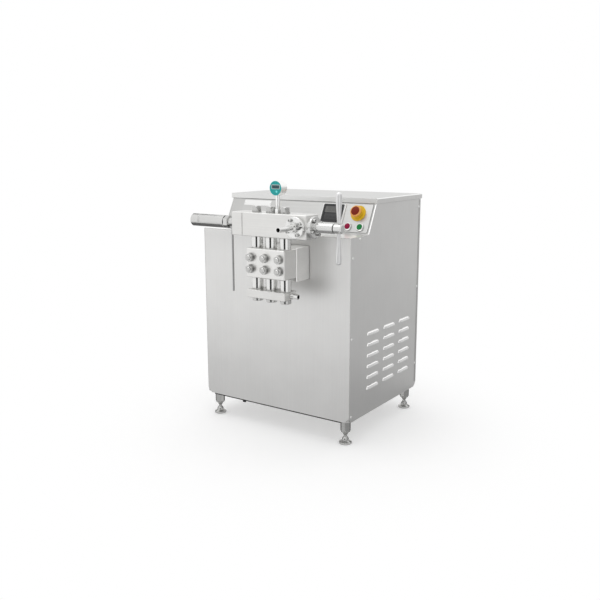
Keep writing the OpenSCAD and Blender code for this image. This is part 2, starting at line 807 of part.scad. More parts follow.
// Caps over the discharge valves and plugs under the suction valves
module valve_caps() {
  shank = 14;
  plug_shank = suction_h / 2 - 4;
  color("silver") for (x = lane) {
    translate([x, head_y, discharge_z1]) {
      cylinder(d = cap_af + 4, h = 4);
      intersection() {
        hexagon(cap_af, cap_h);
        cylinder(d1 = cap_af + 2 * cap_h, d2 = cap_af, h = cap_h);
      }
      translate([0, 0, -shank]) cylinder(d = cap_shank_d - 2 * seat_fit, h = shank);
    }
    translate([x, head_y, suction_z0 - bottom_cap_h]) {
      cylinder(d1 = plug_d - 4, d2 = plug_d, h = 2);
      translate([0, 0, 2]) cylinder(d = plug_d, h = bottom_cap_h - 2);
      translate([0, 0, bottom_cap_h]) cylinder(d = cap_shank_d - 2 * seat_fit, h = plug_shank);
    }
  }
}

// Washer, hexagon nut and stud end, six on the pump block's front
module head_nuts() {
  stud_out = 5;
  tip = washer_t + nut_t + stud_out;
  color("silver") for (x = lane, z = [-nut_row, nut_row])
    translate([x, block_front, head_z + z]) rotate([90, 0, 0]) {
      cylinder(d = nut_af + 6, h = washer_t);
      translate([0, 0, washer_t]) intersection() {
        rotate(30) hexagon(nut_af, nut_t);
        cylinder(d1 = nut_af + 2 * nut_t, d2 = nut_af, h = nut_t);
      }
      translate([0, 0, -stud_depth]) cylinder(d = stud_d, h = stud_depth + tip - 1);
      translate([0, 0, tip - 1]) cylinder(d1 = stud_d, d2 = stud_d - 2, h = 1);
    }
}

// Winged disc valve on the seat of the sleeve that stands on z0
module pump_valve(x, z0) {
  wing_cut = 7;
  color("goldenrod") translate([x, head_y, z0 + seat_web]) {
    cylinder(d = valve_d, h = valve_t);
    cylinder(d = coil_d - coil_wire - 2, h = valve_t + 3);
    translate([0, 0, -guide_l]) difference() {
      cylinder(d = seat_d - 2 * run_fit, h = guide_l);
      for (a = [0:90:270]) rotate(a) translate([seat_d / 2, 0, -1]) cylinder(d = wing_cut, h = guide_l + 1);
    }
  }
}

module discharge_valve(i) pump_valve(lane[i], block_top);
module suction_valve(i) pump_valve(lane[i], suction_z1);

// Springs over the pump valves, the homogenizing valve's spring and the relief valve's spring
module valve_springs() {
  play = 0.3;
  homogenizing_l = pusher_x - collar_x - collar_t - 2 * play;
  relief_l0 = poppet_collar_x - poppet_collar_t - relief_x1 - cap_spigot - 2 * play;
  color("darkgray") {
    for (x = lane) {
      translate([x, head_y, block_top + seat_web + valve_t + play])
        coil(coil_d, coil_wire, sleeve_up - seat_web - valve_t - 2 * play, 4);
      translate([x, head_y, suction_z1 + seat_web + valve_t + play])
        coil(coil_d, coil_wire, sleeve_down - seat_web - valve_t - 2 * play, 4);
    }
    translate([collar_x + collar_t + play, head_y, gallery_z]) rotate([0, 90, 0])
      coil(tube_bore - 6, 3.5, homogenizing_l, 3.5);
    translate([relief_x1 + cap_spigot + play, head_y, gallery_z]) rotate([0, 90, 0])
      coil(relief_bore - 6, 3.5, relief_l0, 6);
  }
}

// Plunger with its crosshead, at the middle of its stroke
module plunger(i) {
  tail = case_front + 2 + stroke / 2;
  color("gainsboro") {
    rod_y(head_y - plunger_reach, tail + 1, plunger_d, lane[i]);
    rod_y(tail, tail + crosshead_l, crosshead_d, lane[i]);
  }
}

module plunger_seals()
  color("white") for (x = lane) difference() {
    rod_y(-standoff - seal_l, -standoff, seal_d - 2 * seat_fit, x);
    rod_y(-standoff - seal_l - 1, 1, plunger_d + 2 * run_fit, x);
  }

module inlet_pipe()
  color("lightgray") difference() {
    union() {
      rod_x(head_x1, head_x1 + inlet_l, pipe_d, head_y, inlet_z);
      rod_x(head_x1 - inlet_spigot_l, head_x1 + 1, spigot_d, head_y, inlet_z);
    }
    rod_x(head_x1 - inlet_spigot_l - 1, head_x1 + inlet_l + 1, pipe_bore, head_y, inlet_z);
  }

// Round flange with a pattern of bolt heads, from z = 0 along +Z
module bolted_flange(d, t, hub) {
  head_d = 10;
  head_h = 6;
  cylinder(d = d, h = t - 1);
  translate([0, 0, t - 1]) cylinder(d1 = d, d2 = d - 2, h = 1);
  cylinder(d = hub, h = t + 8);
  for (a = [0:90:270])
    rotate(a + bolt_turn) translate([d / 2 - 8, 0, t]) cylinder(d = head_d, h = head_h);
}

module outlet_pipe() {
  hub_out = 21;
  color("lightgray") translate([outlet_x, block_front, gallery_z]) rotate([90, 0, 0]) difference() {
    union() {
      bolted_flange(flange_d, flange_t, pipe_d + 14);
      cylinder(d1 = pipe_d + 14, d2 = pipe_d + 8, h = flange_t + hub_out);
      cylinder(d = pipe_d, h = flange_t + outlet_l);
      translate([0, 0, -spigot_l]) cylinder(d = spigot_d, h = spigot_l + 1);
    }
    translate([0, 0, -spigot_l - 1]) cylinder(d = pipe_bore, h = spigot_l + 2 + flange_t + outlet_l);
  }
}

module homogenizing_seat()
  color("silver") difference() {
    rod_x(seat_x, seat_x + seat_l, valve_bore - 2 * seat_fit);
    rod_x(seat_x - 1, seat_x + seat_l + 1, piston_d - 8);
  }

module impact_ring()
  color("darkgray") difference() {
    rod_x(seat_x + seat_l, seat_x + seat_l + ring_l, valve_bore - 2 * seat_fit);
    rod_x(seat_x + seat_l - 1, seat_x + seat_l + ring_l + 1, piston_d + 4);
  }

module homogenizing_piston() {
  x = seat_x + seat_l;
  color("silver") {
    rod_x(x, x + piston_head_l, piston_d);
    rod_x(x + piston_head_l, collar_x, piston_stem_d);
    rod_x(collar_x, collar_x + collar_t, tube_bore - 2);
  }
}

// Bolted bonnet that guides the piston, and the tube around the spring
module spring_housing()
  color("silver") difference() {
    union() {
      rod_x(discharge_x1 - bonnet_l, discharge_x1, valve_bore - 2 * seat_fit);
      translate([discharge_x1, head_y, gallery_z]) rotate([0, 90, 0])
        bolted_flange(flange_d, flange_t, spring_tube_d + 8);
      rod_x(discharge_x1, spring_tube_x1, spring_tube_d);
    }
    rod_x(discharge_x1 - bonnet_l - 1, flange_x1, piston_stem_d + 2 * run_fit);
    rod_x(flange_x1 - 1, spring_tube_x1 - end_wall, tube_bore);
    rod_x(flange_x1, spring_tube_x1 + 1, spindle_d + 2 * run_fit);
  }

module spring_pusher()
  color("goldenrod") difference() {
    rod_x(pusher_x, pusher_x + pusher_t, tube_bore - 2 * run_fit);
    rod_x(pusher_x - 1, pusher_x + pusher_t + 1, spindle_d + 2 * run_fit);
  }

// Threaded spindle with its thrust collar and the hub that holds the T-bar
module handle_spindle()
  color("silver") difference() {
    union() {
      rod_x(pusher_x - pusher_travel, hub_x + 1, spindle_d);
      rod_x(thrust_x, thrust_x + thrust_t, thrust_d);
      translate([hub_x, head_y, gallery_z]) rotate([0, 90, 0]) rotate_extrude()
        polygon([[0, 0], [hub_d / 2 - 2, 0], [hub_d / 2, 2], [hub_d / 2, hub_l - 3],
          [hub_d / 2 - 3, hub_l], [0, hub_l]]);
    }
    translate([bar_x, head_y, gallery_z - hub_d]) cylinder(d = bar_mid_d + 2 * seat_fit, h = 2 * hub_d);
  }

// T-bar turned from one rod: slim in the middle, flaring to rounded ends
module handle_bar() {
  half = bar_l / 2;
  r = bar_end_d / 2;
  slim = bar_mid_d / 2;
  neck = hub_d / 2 + 4;
  flare = half - 30;
  color("silver") translate([bar_x, head_y, gallery_z]) rotate_extrude() intersection() {
    union() {
      polygon([[0, r - half], [r, r - half], [r, -flare], [slim, -neck], [slim, neck], [r, flare],
        [r, half - r], [0, half - r]]);
      for (y = [r - half, half - r]) translate([0, y]) circle(r = r);
    }
    translate([0, -half]) square([r, bar_l]);
  }
}

module relief_block()
  color("whitesmoke") difference() {
    bevel_block([relief_x, block_front, discharge_z0], [relief_w, block_d, discharge_h]);
    rod_x(relief_x, discharge_x0 + 1, relief_port_d);
    rod_x(relief_x - 1, poppet_x, poppet_d + 4);
  }

// Flanged neck with a hexagon, and the long round housing of the relief valve
module relief_housing() {
  ring = 6;
  ring_d = neck_d + 4;
  nut_af = neck_d + 9;
  nut_l = 16;
  color("silver") difference() {
    union() {
      rod_x(relief_x - ring, relief_x, ring_d);
      rod_x(neck_x1, relief_x, neck_d);
      translate([neck_x1 + 2, head_y, gallery_z]) rotate([0, 90, 0]) hexagon(nut_af, nut_l);
      rod_x(relief_x1, neck_x1 - 1, relief_d);
      translate([neck_x1 - 1, head_y, gallery_z]) rotate([0, 90, 0])
        cylinder(d1 = relief_d, d2 = relief_d - 2, h = 1);
    }
    rod_x(relief_x1 - 1, neck_x1 - guide_wall, relief_bore);
    rod_x(neck_x1 - guide_wall - 1, relief_x + 1, relief_port_d + 2 * run_fit);
    rod_x(neck_x1 + 4, relief_x + 1, neck_bore);
    translate([drain_x, head_y, drain_z - 2]) cylinder(d = drain_d - 3, h = neck_d / 2);
    translate([drain_x, head_y, drain_z - 2]) cylinder(d = drain_d + 10, h = 2);
  }
}

module relief_poppet()
  color("goldenrod") {
    rod_x(poppet_x - poppet_l, poppet_x, poppet_d);
    rod_x(poppet_collar_x, poppet_x - poppet_l, relief_port_d);
    rod_x(poppet_collar_x - poppet_collar_t, poppet_collar_x, relief_bore - 2);
  }

// Grooved adjuster cap with the spigot that bears on the relief spring
module relief_cap() {
  groove_w = 1.2;
  groove_depth = 0.8;
  x0 = relief_x1 - pass_gap;
  color("silver") {
    difference() {
      rod_x(cap_x1, x0, relief_d);
      for (i = [1:2]) translate([x0 - i * 4, 0, 0]) difference() {
        rod_x(0, groove_w, relief_d + 2);
        rod_x(-1, groove_w + 1, relief_d - 2 * groove_depth);
      }
    }
    rod_x(x0, relief_x1 + cap_spigot, relief_bore - 2 * run_fit);
  }
}

// Drain fitting under the collar, and the tube that hangs from it
module relief_drain() {
  fitting = 10;
  color("gray") translate([drain_x, head_y, drain_z]) difference() {
    union() {
      translate([0, 0, -fitting]) hexagon(drain_d + 6, fitting);
      translate([0, 0, -drain_l]) cylinder(d = drain_d, h = drain_l);
    }
    translate([0, 0, -drain_l - 1]) cylinder(d = drain_d - 3, h = drain_l + 2);
  }
}

// Digital gauge: stem with a hexagon, round case and the rim around its face
module pressure_gauge() {
  stem = 14;
  rim = 3;
  face_in = 2;
  color("lightseagreen") difference() {
    union() {
      translate([gauge_x, head_y, discharge_z1]) {
        hexagon(stem + 4, 12);
        cylinder(d = stem, h = gauge_up);
        translate([0, 0, -10]) cylinder(d = 8 - 2 * seat_fit, h = 10);
      }
      rod_y(gauge_front, gauge_front + gauge_t - 3, gauge_d, gauge_x, gauge_z);
      rod_y(gauge_front, gauge_front + gauge_t, gauge_d - 8, gauge_x, gauge_z);
    }
    rod_y(gauge_front - 1, gauge_front + face_in, gauge_d - 2 * rim, gauge_x, gauge_z);
  }
}

translate(origin) base_pan();
translate(origin) leg_sockets();
translate(origin) cabinet_frame();
translate(origin) front_panel();
translate(origin) left_side_panel();
translate(origin) right_side_panel();
translate(origin) rear_panel();
translate(origin) console_panel();
translate(origin) control_plate();
translate(origin) top_lid();
translate(origin) foot(0);  // foot_front_left
translate(origin) foot(1);  // foot_front_right
translate(origin) foot(2);  // foot_rear_left
translate(origin) foot(3);  // foot_rear_right
translate(origin) panel_meter();
translate(origin) estop_base();
translate(origin) estop_stem();
translate(origin) estop_head();
translate(origin) button_bezels();
translate(origin) start_button();
translate(origin) stop_button();
translate(origin) motor();
translate(origin) motor_pulley();
translate(origin) drive_belt();
translate(origin) crank_pulley();
translate(origin) crankcase();
translate(origin) crosshead_housing();
translate(origin) pump_block();
translate(origin) discharge_block();
translate(origin) suction_block();
translate(origin) valve_sleeves();
translate(origin) valve_caps();
translate(origin) head_nuts();
translate(origin) discharge_valve(0);  // discharge_valve_1
translate(origin) discharge_valve(1);  // discharge_valve_2
translate(origin) discharge_valve(2);  // discharge_valve_3
translate(origin) suction_valve(0);  // suction_valve_1
translate(origin) suction_valve(1);  // suction_valve_2
translate(origin) suction_valve(2);  // suction_valve_3
translate(origin) valve_springs();
translate(origin) plunger(0);  // plunger_1
translate(origin) plunger(1);  // plunger_2
translate(origin) plunger(2);  // plunger_3
translate(origin) plunger_seals();
translate(origin) inlet_pipe();
translate(origin) outlet_pipe();
translate(origin) homogenizing_seat();
translate(origin) impact_ring();
translate(origin) homogenizing_piston();
translate(origin) spring_housing();
translate(origin) spring_pusher();
translate(origin) handle_spindle();
translate(origin) handle_bar();
translate(origin) relief_block();
translate(origin) relief_housing();
translate(origin) relief_poppet();
translate(origin) relief_cap();
translate(origin) relief_drain();
translate(origin) pressure_gauge();
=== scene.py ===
# %% [markdown]
# # Dressing a pilot homogenizer in stainless steel
# The imported CAD model gives every solid of the machine in its real place, so this lesson adds what
# CAD leaves out: broken edges, brushed and polished steel, screws, a gauge face, a meter screen, and
# a studio to see it in. The frame is loaded first.

# %% Load the frame
import json
import math
import bmesh
import bpy
from mathutils import Matrix, Vector


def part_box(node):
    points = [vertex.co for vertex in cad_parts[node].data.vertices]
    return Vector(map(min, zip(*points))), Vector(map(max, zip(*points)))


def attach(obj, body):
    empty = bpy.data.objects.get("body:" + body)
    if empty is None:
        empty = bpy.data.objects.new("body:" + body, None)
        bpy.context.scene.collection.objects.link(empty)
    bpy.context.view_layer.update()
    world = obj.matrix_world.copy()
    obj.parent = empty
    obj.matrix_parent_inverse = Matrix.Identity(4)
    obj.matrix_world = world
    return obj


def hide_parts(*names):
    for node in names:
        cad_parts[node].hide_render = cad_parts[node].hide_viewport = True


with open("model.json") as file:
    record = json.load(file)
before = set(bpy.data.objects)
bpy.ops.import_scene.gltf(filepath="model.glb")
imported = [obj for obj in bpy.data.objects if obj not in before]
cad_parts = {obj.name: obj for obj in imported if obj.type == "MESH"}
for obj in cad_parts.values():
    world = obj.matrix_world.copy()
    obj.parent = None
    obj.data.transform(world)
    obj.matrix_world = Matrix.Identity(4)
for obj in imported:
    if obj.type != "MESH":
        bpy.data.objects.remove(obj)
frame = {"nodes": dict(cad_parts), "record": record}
scene = bpy.context.scene
nodes = frame["nodes"]
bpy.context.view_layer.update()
slot_of = {p["node"]: p["material_slot"] for p in frame["record"]["subparts"]}
body_of = {n: b for b, names in frame["record"]["behaviour"]["bodies"].items() for n in names}

# %% Places that several steps use
# All lengths are in metres. X runs to the machine's right, Y to its back and Z up.
left_face, right_face = -0.326, 0.294  # outer faces of the side panels
slope_foot_y, slope_foot_z = -0.015, 0.710  # where the console's slope meets its ledge
slope_rise, slope_depth = 0.100, 0.050  # the slope climbs this much over this depth
head_y, gallery_z = -0.245, 0.7515  # the axis of both valves, along X
outlet_x = 0.182  # the outlet pipe's axis, along Y
print("cabinet width:", round(right_face - left_face, 3))

# %% [markdown]
# ## The camera
# The camera stands where the photograph was taken from: in front of the machine, to its right and a
# little above it. Its place and its lens were solved from the corners of the cabinet, so the model
# and the photograph can be compared edge by edge.

# %% Camera
view_side, view_down, view_roll = math.radians(34.313), math.radians(11.423), math.radians(0.122)
camera = bpy.data.objects.new("Camera", bpy.data.cameras.new("Camera"))
scene.collection.objects.link(camera)
camera.location = (1.5024, -2.1926, 0.9914)
camera.rotation_euler = (math.pi / 2 - view_down, view_roll, view_side)
camera.data.sensor_width = 36
camera.data.lens = 44.918
scene.camera = camera
print("camera at", tuple(camera.location), "lens", camera.data.lens)

# %% [markdown]
# ## Shared surface effects
# Every steel piece has grain from the belt that brushed it, edges that have been rubbed brighter, and
# cloudy marks from wiping. Each of these is one node group with named inputs, and each finish places
# the groups with its own values. The groups read the surface's own coordinates, so the effects stay
# on the metal when a piece moves.

# %% Helpers for node groups
def new_group(name, inputs, outputs):
    tree = bpy.data.node_groups.new(name, "ShaderNodeTree")
    for socket, kind, value in inputs:
        tree.interface.new_socket(socket, in_out="INPUT", socket_type=kind).default_value = value
    for socket in outputs:
        tree.interface.new_socket(socket, in_out="OUTPUT", socket_type="NodeSocketFloat")
    return tree, tree.nodes.new("NodeGroupInput"), tree.nodes.new("NodeGroupOutput")


def feed(tree, socket, value):
    """Sets a socket to a number, or links an output to it."""
    if isinstance(value, (int, float)):
        socket.default_value = value
    else:
        tree.links.new(value, socket)


def math_node(tree, operation, first, second, clamp=False):
    node = tree.nodes.new("ShaderNodeMath")
    node.operation, node.use_clamp = operation, clamp
    feed(tree, node.inputs[0], first)
    feed(tree, node.inputs[1], second)
    return node.outputs[0]


def vector_math(tree, operation, *vectors):
    node = tree.nodes.new("ShaderNodeVectorMath")
    node.operation = operation
    for socket, vector in zip(node.inputs, vectors):
        tree.links.new(vector, socket)
    return node


print("group and math helpers ready")

# %% Helpers for ranges and noise
def spread(tree, value, low, high, to_low=0.0, to_high=1.0):
    """Maps a value from one range to another."""
    node = tree.nodes.new("ShaderNodeMapRange")
    tree.links.new(value, node.inputs["Value"])
    limits = {"From Min": low, "From Max": high, "To Min": to_low, "To Max": to_high}
    for name, number in limits.items():
        node.inputs[name].default_value = number
    return node.outputs["Result"]


def own_place(tree):
    """The surface's own coordinates, which move with the piece."""
    return tree.nodes.new("ShaderNodeTexCoord").outputs["Object"]


def noise(tree, vector, scale, detail=3.0, roughness=0.55):
    node = tree.nodes.new("ShaderNodeTexNoise")
    tree.links.new(vector, node.inputs["Vector"])
    feed(tree, node.inputs["Scale"], scale)
    node.inputs["Detail"].default_value = detail
    node.inputs["Roughness"].default_value = roughness
    return node.outputs["Fac"]


print("range and noise helpers ready")

# %% Brushed grain
# Run stretches the noise: a small number along an axis draws the scratches out along that axis.
tree, given, out = new_group(
    "Brushed grain",
    [("Run", "NodeSocketVector", (1, 1, 1)), ("Strength", "NodeSocketFloat", 0.1)],
    ["Tone", "Height"],
)
stretched = vector_math(tree, "MULTIPLY", own_place(tree), given.outputs["Run"]).outputs[0]
broad = math_node(tree, "MULTIPLY", noise(tree, stretched, 300.0), 0.6)
fine = math_node(tree, "MULTIPLY", noise(tree, stretched, 1500.0, 2.0), 0.4)
both = math_node(tree, "ADD", broad, fine)
swing = math_node(tree, "MULTIPLY", spread(tree, both, 0.32, 0.68, -1.0, 1.0), given.outputs["Strength"])
tree.links.new(math_node(tree, "ADD", swing, 1.0), out.inputs["Tone"])
tree.links.new(both, out.inputs["Height"])
brushed_grain = tree
print("group:", tree.name)

# %% Rubbed edges
# The Bevel node gives the normal that a rounded edge would have. Where it differs from the flat
# normal there is an edge, and noise breaks the bright line up.
tree, given, out = new_group("Rubbed edges", [("Radius", "NodeSocketFloat", 0.001)], ["Mask"])
rounded = tree.nodes.new("ShaderNodeBevel")
rounded.samples = 4
tree.links.new(given.outputs["Radius"], rounded.inputs["Radius"])
flat = tree.nodes.new("ShaderNodeNewGeometry")
agree = vector_math(tree, "DOT_PRODUCT", rounded.outputs["Normal"], flat.outputs["Normal"])
edge = spread(tree, agree.outputs["Value"], 0.99, 0.82)
patches = spread(tree, noise(tree, own_place(tree), 55.0), 0.35, 0.62)
tree.links.new(math_node(tree, "MULTIPLY", edge, patches, clamp=True), out.inputs["Mask"])
rubbed_edges = tree
print("group:", tree.name)

# %% Wiping marks
tree, given, out = new_group(
    "Wiping marks",
    [("Size", "NodeSocketFloat", 9.0), ("Strength", "NodeSocketFloat", 0.1)],
    ["Tone", "Dull"],
)
clouds = noise(tree, own_place(tree), given.outputs["Size"], 4.0, 0.6)
swing = math_node(tree, "MULTIPLY", spread(tree, clouds, 0.3, 0.7, -1.0, 1.0), given.outputs["Strength"])
tree.links.new(math_node(tree, "ADD", swing, 1.0), out.inputs["Tone"])
tree.links.new(math_node(tree, "MULTIPLY", swing, 0.6), out.inputs["Dull"])
wiping_marks = tree
print("group:", tree.name)

# %% Shade in corners
# Painted shade: ambient occlusion darkens the colour where surfaces meet, as shadow falls in the corners of a
# machined head.
tree, given, out = new_group("Corner shade", [("Reach", "NodeSocketFloat", 0.02)], ["Mask"])
closed_in = tree.nodes.new("ShaderNodeAmbientOcclusion")
closed_in.samples = 8
tree.links.new(given.outputs["Reach"], closed_in.inputs["Distance"])
tree.links.new(spread(tree, closed_in.outputs["AO"], 0.85, 0.25), out.inputs["Mask"])
corner_shade = tree
print("group:", tree.name)

# %% [markdown]
# ## Finishes
# A steel finish starts from one colour. Grain and wiping marks vary it by a few percent, rubbed edges
# lift it and painted shade darkens its corners. Plastics use the same marks with a moulded texture in
# the bump. The numbers that are the same all over go straight into the shader's own sockets.

# %% Helpers for finishes
def place_group(tree, group, **values):
    node = tree.nodes.new("ShaderNodeGroup")
    node.node_tree = group
    for name, value in values.items():
        node.inputs[name].default_value = value
    return node


def shaded(tree, colour, tones):
    """A colour multiplied by each tone in turn."""
    node = tree.nodes.new("ShaderNodeVectorMath")
    node.operation = "SCALE"
    node.inputs[0].default_value = colour
    tone = tones[0]
    for other in tones[1:]:
        tone = math_node(tree, "MULTIPLY", tone, other)
    tree.links.new(tone, node.inputs["Scale"])
    return node.outputs[0]


def mixed(tree, mask, under, over):
    """One colour over another, as far as the mask says."""
    node = tree.nodes.new("ShaderNodeMix")
    node.data_type = "RGBA"
    tree.links.new(mask, node.inputs["Factor"])
    tree.links.new(under, node.inputs["A"])
    node.inputs["B"].default_value = (*over, 1)
    return node.outputs["Result"]


def new_finish(name, **constants):
    finish = bpy.data.materials.new(name)
    finish.use_nodes = True
    shader = finish.node_tree.nodes["Principled BSDF"]
    for socket, value in constants.items():
        shader.inputs[socket.replace("_", " ")].default_value = value
    return finish, finish.node_tree, shader


def bumped(tree, shader, height, strength, distance):
    bump = tree.nodes.new("ShaderNodeBump")
    bump.inputs["Strength"].default_value = strength
    bump.inputs["Distance"].default_value = distance
    tree.links.new(height, bump.inputs["Height"])
    tree.links.new(bump.outputs["Normal"], shader.inputs["Normal"])


print("finish helpers ready")

# %% Steel and moulded finishes
rubbed_steel = (0.92, 0.92, 0.91)
steel_edge, moulded_edge = 0.0012, 0.0006
grain_depth, pebble_depth = 0.00005, 0.0002


def steel(name, colour, dull, run=(1, 1, 1), grain=0.05, marks=0.05, bump=0.12, corner=0.02, shade=0.3):
    """A metal finish: dull is its roughness, run the way of its grain, corner the reach of its shade."""
    finish, tree, shader = new_finish(name, Metallic=1.0)
    lines = place_group(tree, brushed_grain, Run=run, Strength=grain)
    wiped = place_group(tree, wiping_marks, Strength=marks)
    rub = place_group(tree, rubbed_edges, Radius=steel_edge).outputs["Mask"]
    dark = place_group(tree, corner_shade, Reach=corner).outputs["Mask"]
    base = shaded(tree, colour, [lines.outputs["Tone"], wiped.outputs["Tone"]])
    lifted = mixed(tree, math_node(tree, "MULTIPLY", rub, 0.5), base, rubbed_steel)
    # Painted shade: corners darken towards about a fifth of the colour, as far as the corner shade mask
    # reaches.
    shadow = tuple(c * 0.22 for c in colour)
    final = mixed(tree, math_node(tree, "MULTIPLY", dark, shade), lifted, shadow)
    tree.links.new(final, shader.inputs["Base Color"])
    rough = math_node(tree, "ADD", wiped.outputs["Dull"], dull)
    smoother = math_node(tree, "MULTIPLY", rub, dull * 0.3)
    tree.links.new(math_node(tree, "SUBTRACT", rough, smoother, clamp=True), shader.inputs["Roughness"])
    bumped(tree, shader, lines.outputs["Height"], bump, grain_depth)
    return finish


def moulded(name, colour, dull, worn, coat=0.0, pebble=900.0, bump=0.1, shine=0.5):
    """A plastic or painted finish with a fine moulded texture; worn is the colour of its rubbed edges."""
    finish, tree, shader = new_finish(name, Coat_Weight=coat, Coat_Roughness=0.12, Specular_IOR_Level=shine)
    wiped = place_group(tree, wiping_marks, Size=30.0, Strength=0.06)
    rub = place_group(tree, rubbed_edges, Radius=moulded_edge).outputs["Mask"]
    base = shaded(tree, colour, [wiped.outputs["Tone"]])
    final = mixed(tree, math_node(tree, "MULTIPLY", rub, 0.45), base, worn)
    tree.links.new(final, shader.inputs["Base Color"])
    rough = math_node(tree, "ADD", wiped.outputs["Dull"], dull, clamp=True)
    tree.links.new(rough, shader.inputs["Roughness"])
    bumped(tree, shader, noise(tree, own_place(tree), pebble, 2.0), bump, pebble_depth)
    return finish


print("finishes can be mixed")

# %% Steel finishes by record slot
upright = (1.0, 1.0, 0.012)
across = (0.012, 1.0, 1.0)
even = (1, 1, 1)
finish_of = {
    "satin_steel": steel("Satin sheet", (0.755, 0.752, 0.743), 0.40, upright, 0.02, 0.02),
    # Painted shade: the control plate on the slope takes a darker steel colour.
    "plate_steel": steel("Brushed plate, painted shade", (0.58, 0.58, 0.57), 0.34, across, 0.04, 0.03, shade=0.2),
    "block_steel": steel("Machined block", (0.75, 0.745, 0.73), 0.33, across, 0.04, 0.04, shade=0.15),
    "polished_steel": steel(
        "Polished steel", (0.80, 0.80, 0.79), 0.09, even, 0.02, 0.05, 0.04, corner=0.012, shade=0.6
    ),
    "foot_steel": steel(
        "Turned steel", (0.56, 0.56, 0.55), 0.15, (0.03, 0.03, 1.0), corner=0.012, shade=0.6
    ),
    "frame_steel": steel("Frame tube", (0.58, 0.58, 0.57), 0.42, upright),
    "hard_alloy": steel("Ground alloy", (0.42, 0.42, 0.43), 0.28, even, 0.08),
    "spring_steel": steel("Spring wire", (0.48, 0.48, 0.48), 0.25, even, 0.08),
    "drain_steel": steel("Drawn tube", (0.42, 0.42, 0.42), 0.30, (1, 1, 0.02), 0.08, 0.06),
    "bronze": steel("Machined bronze", (0.62, 0.43, 0.19), 0.30, even, 0.08, 0.08),
}
print("steel finishes:", sorted(finish_of))

# %% Steel finishes of single pieces
turned = (0.03, 1, 1)
# Painted light and shade: the lid's top takes a darker copy of the sheet, its front and rear lips a lighter
# one.
lid_top_painted_shade = steel("Lid top, painted shade", (0.62, 0.62, 0.61), 0.38, across, 0.02, 0.02)
lid_lip_painted_light = steel("Lid lip, painted light", (0.78, 0.78, 0.77), 0.38, across, 0.02, 0.02, shade=0.2)
# Painted shade along the rear folds.
rear_fold_painted_shade = steel("Rear fold shade", (0.53, 0.53, 0.52), 0.40, upright, 0.02, 0.02)
# Painted shade: the console's slope takes a darker copy of the sheet.
console_painted_shade = steel("Console sheet, painted shade", (0.58, 0.58, 0.57), 0.40, across, 0.02, 0.02)
# Painted light: the housing and the pump block take lighter copies of the machined steel, lifting the shade
# on their sides.
housing_painted_light = steel("Milled housing, painted light", (0.91, 0.905, 0.89), 0.33, across, 0.04, 0.04)
pump_block_painted_light = steel("Milled pump block, painted light", (0.82, 0.815, 0.80), 0.33, across, 0.04, 0.04, shade=0.15)
turned_finish = steel(
    "Turned housing", (0.70, 0.70, 0.69), 0.20, turned, 0.03, 0.04, corner=0.010, shade=0.15
)
relief_finish = steel(
    "Turned relief valve", (0.66, 0.66, 0.65), 0.20, turned, 0.03, 0.04, corner=0.010, shade=0.35
)
bar_finish = steel("Satin bar", (0.82, 0.82, 0.82), 0.46, (1, 1, 0.03), 0.03, 0.04, shade=0.2)
# Painted highlight: the louvre hoods take a near-white copy of the sheet.
hood_painted_highlight = steel("Pressed hood, painted highlight", (0.98, 0.98, 0.97), 0.18, upright, 0.01, 0.01, shade=0.2)
# Near-white steel: the gauge's own pale body, and painted highlights on the lid's side folds, the console's
# ledge and the sheet edges.
bright_steel_and_painted_highlight = steel("Bright steel and painted highlight", (0.97, 0.97, 0.96), 0.30, across, 0.01, 0.01, shade=0.1)
screw_finish = steel("Bright screw", (0.97, 0.97, 0.96), 0.30, even, 0.02, 0.02, shade=0.2)
nut_finish = steel("Nut steel", (0.56, 0.56, 0.55), 0.22, even, 0.04, 0.05, corner=0.012, shade=0.6)
label_finish = steel("Bright plate", (0.86, 0.86, 0.85), 0.30, across, 0.02, 0.02, shade=0.1)
print("steel finishes of single pieces ready")

# %% Painted, moulded and rubber finishes
rough_cast = {"pebble": 400.0, "bump": 0.4}
rough_rubber = {"pebble": 600.0, "bump": 0.4}
finish_of |= {
    "motor_paint": moulded("Motor enamel", (0.05, 0.12, 0.22), 0.38, (0.30, 0.32, 0.34), 0.3),
    "casting": moulded("Painted casting", (0.16, 0.17, 0.18), 0.60, (0.35, 0.35, 0.35), **rough_cast),
    "pulley_iron": moulded("Turned iron", (0.13, 0.13, 0.13), 0.50, (0.40, 0.40, 0.40)),
    "belt_rubber": moulded("Belt rubber", (0.02, 0.02, 0.02), 0.75, (0.07, 0.07, 0.07), **rough_rubber),
    "seal_polymer": moulded("Packing rings", (0.70, 0.68, 0.62), 0.55, (0.80, 0.78, 0.74)),
    "meter_plastic": moulded("Meter case", (0.020, 0.020, 0.022), 0.45, (0.08, 0.08, 0.08)),
    "gauge_plastic": moulded("Gauge case", (0.0, 0.45, 0.46), 0.35, (0.20, 0.65, 0.66), 0.3),
    "stop_yellow": moulded("Stop plate", (0.84, 0.56, 0.03), 0.45, (0.90, 0.72, 0.25), shine=0.3),
    "stop_red": moulded("Stop mushroom", (0.21, 0.015, 0.002), 0.36, (0.60, 0.12, 0.03), shine=0.2),
    "stem_plastic": moulded("Stop stem", (0.10, 0.10, 0.10), 0.50, (0.20, 0.20, 0.20)),
    "button_red": moulded("Crimson cap", (0.30, 0.002, 0.045), 0.34, (0.65, 0.15, 0.25), shine=0.2),
    "button_green": moulded("Green cap", (0.004, 0.21, 0.045), 0.34, (0.15, 0.48, 0.22), shine=0.2),
}
# Painted highlight and painted reflection of the yellow plate on the stop mushroom's rim.
stop_rim_painted_highlight = moulded("Stop mushroom's painted highlight", (0.86, 0.40, 0.10), 0.40, (0.95, 0.60, 0.25), shine=0.3)
# Painted shade in the sockets of the flange bolts and inside the pipe bores.
painted_recess_shade = moulded("Painted recess shade", (0.015, 0.015, 0.015), 0.7, (0.03, 0.03, 0.03))
print("finishes by record slot:", len(finish_of))

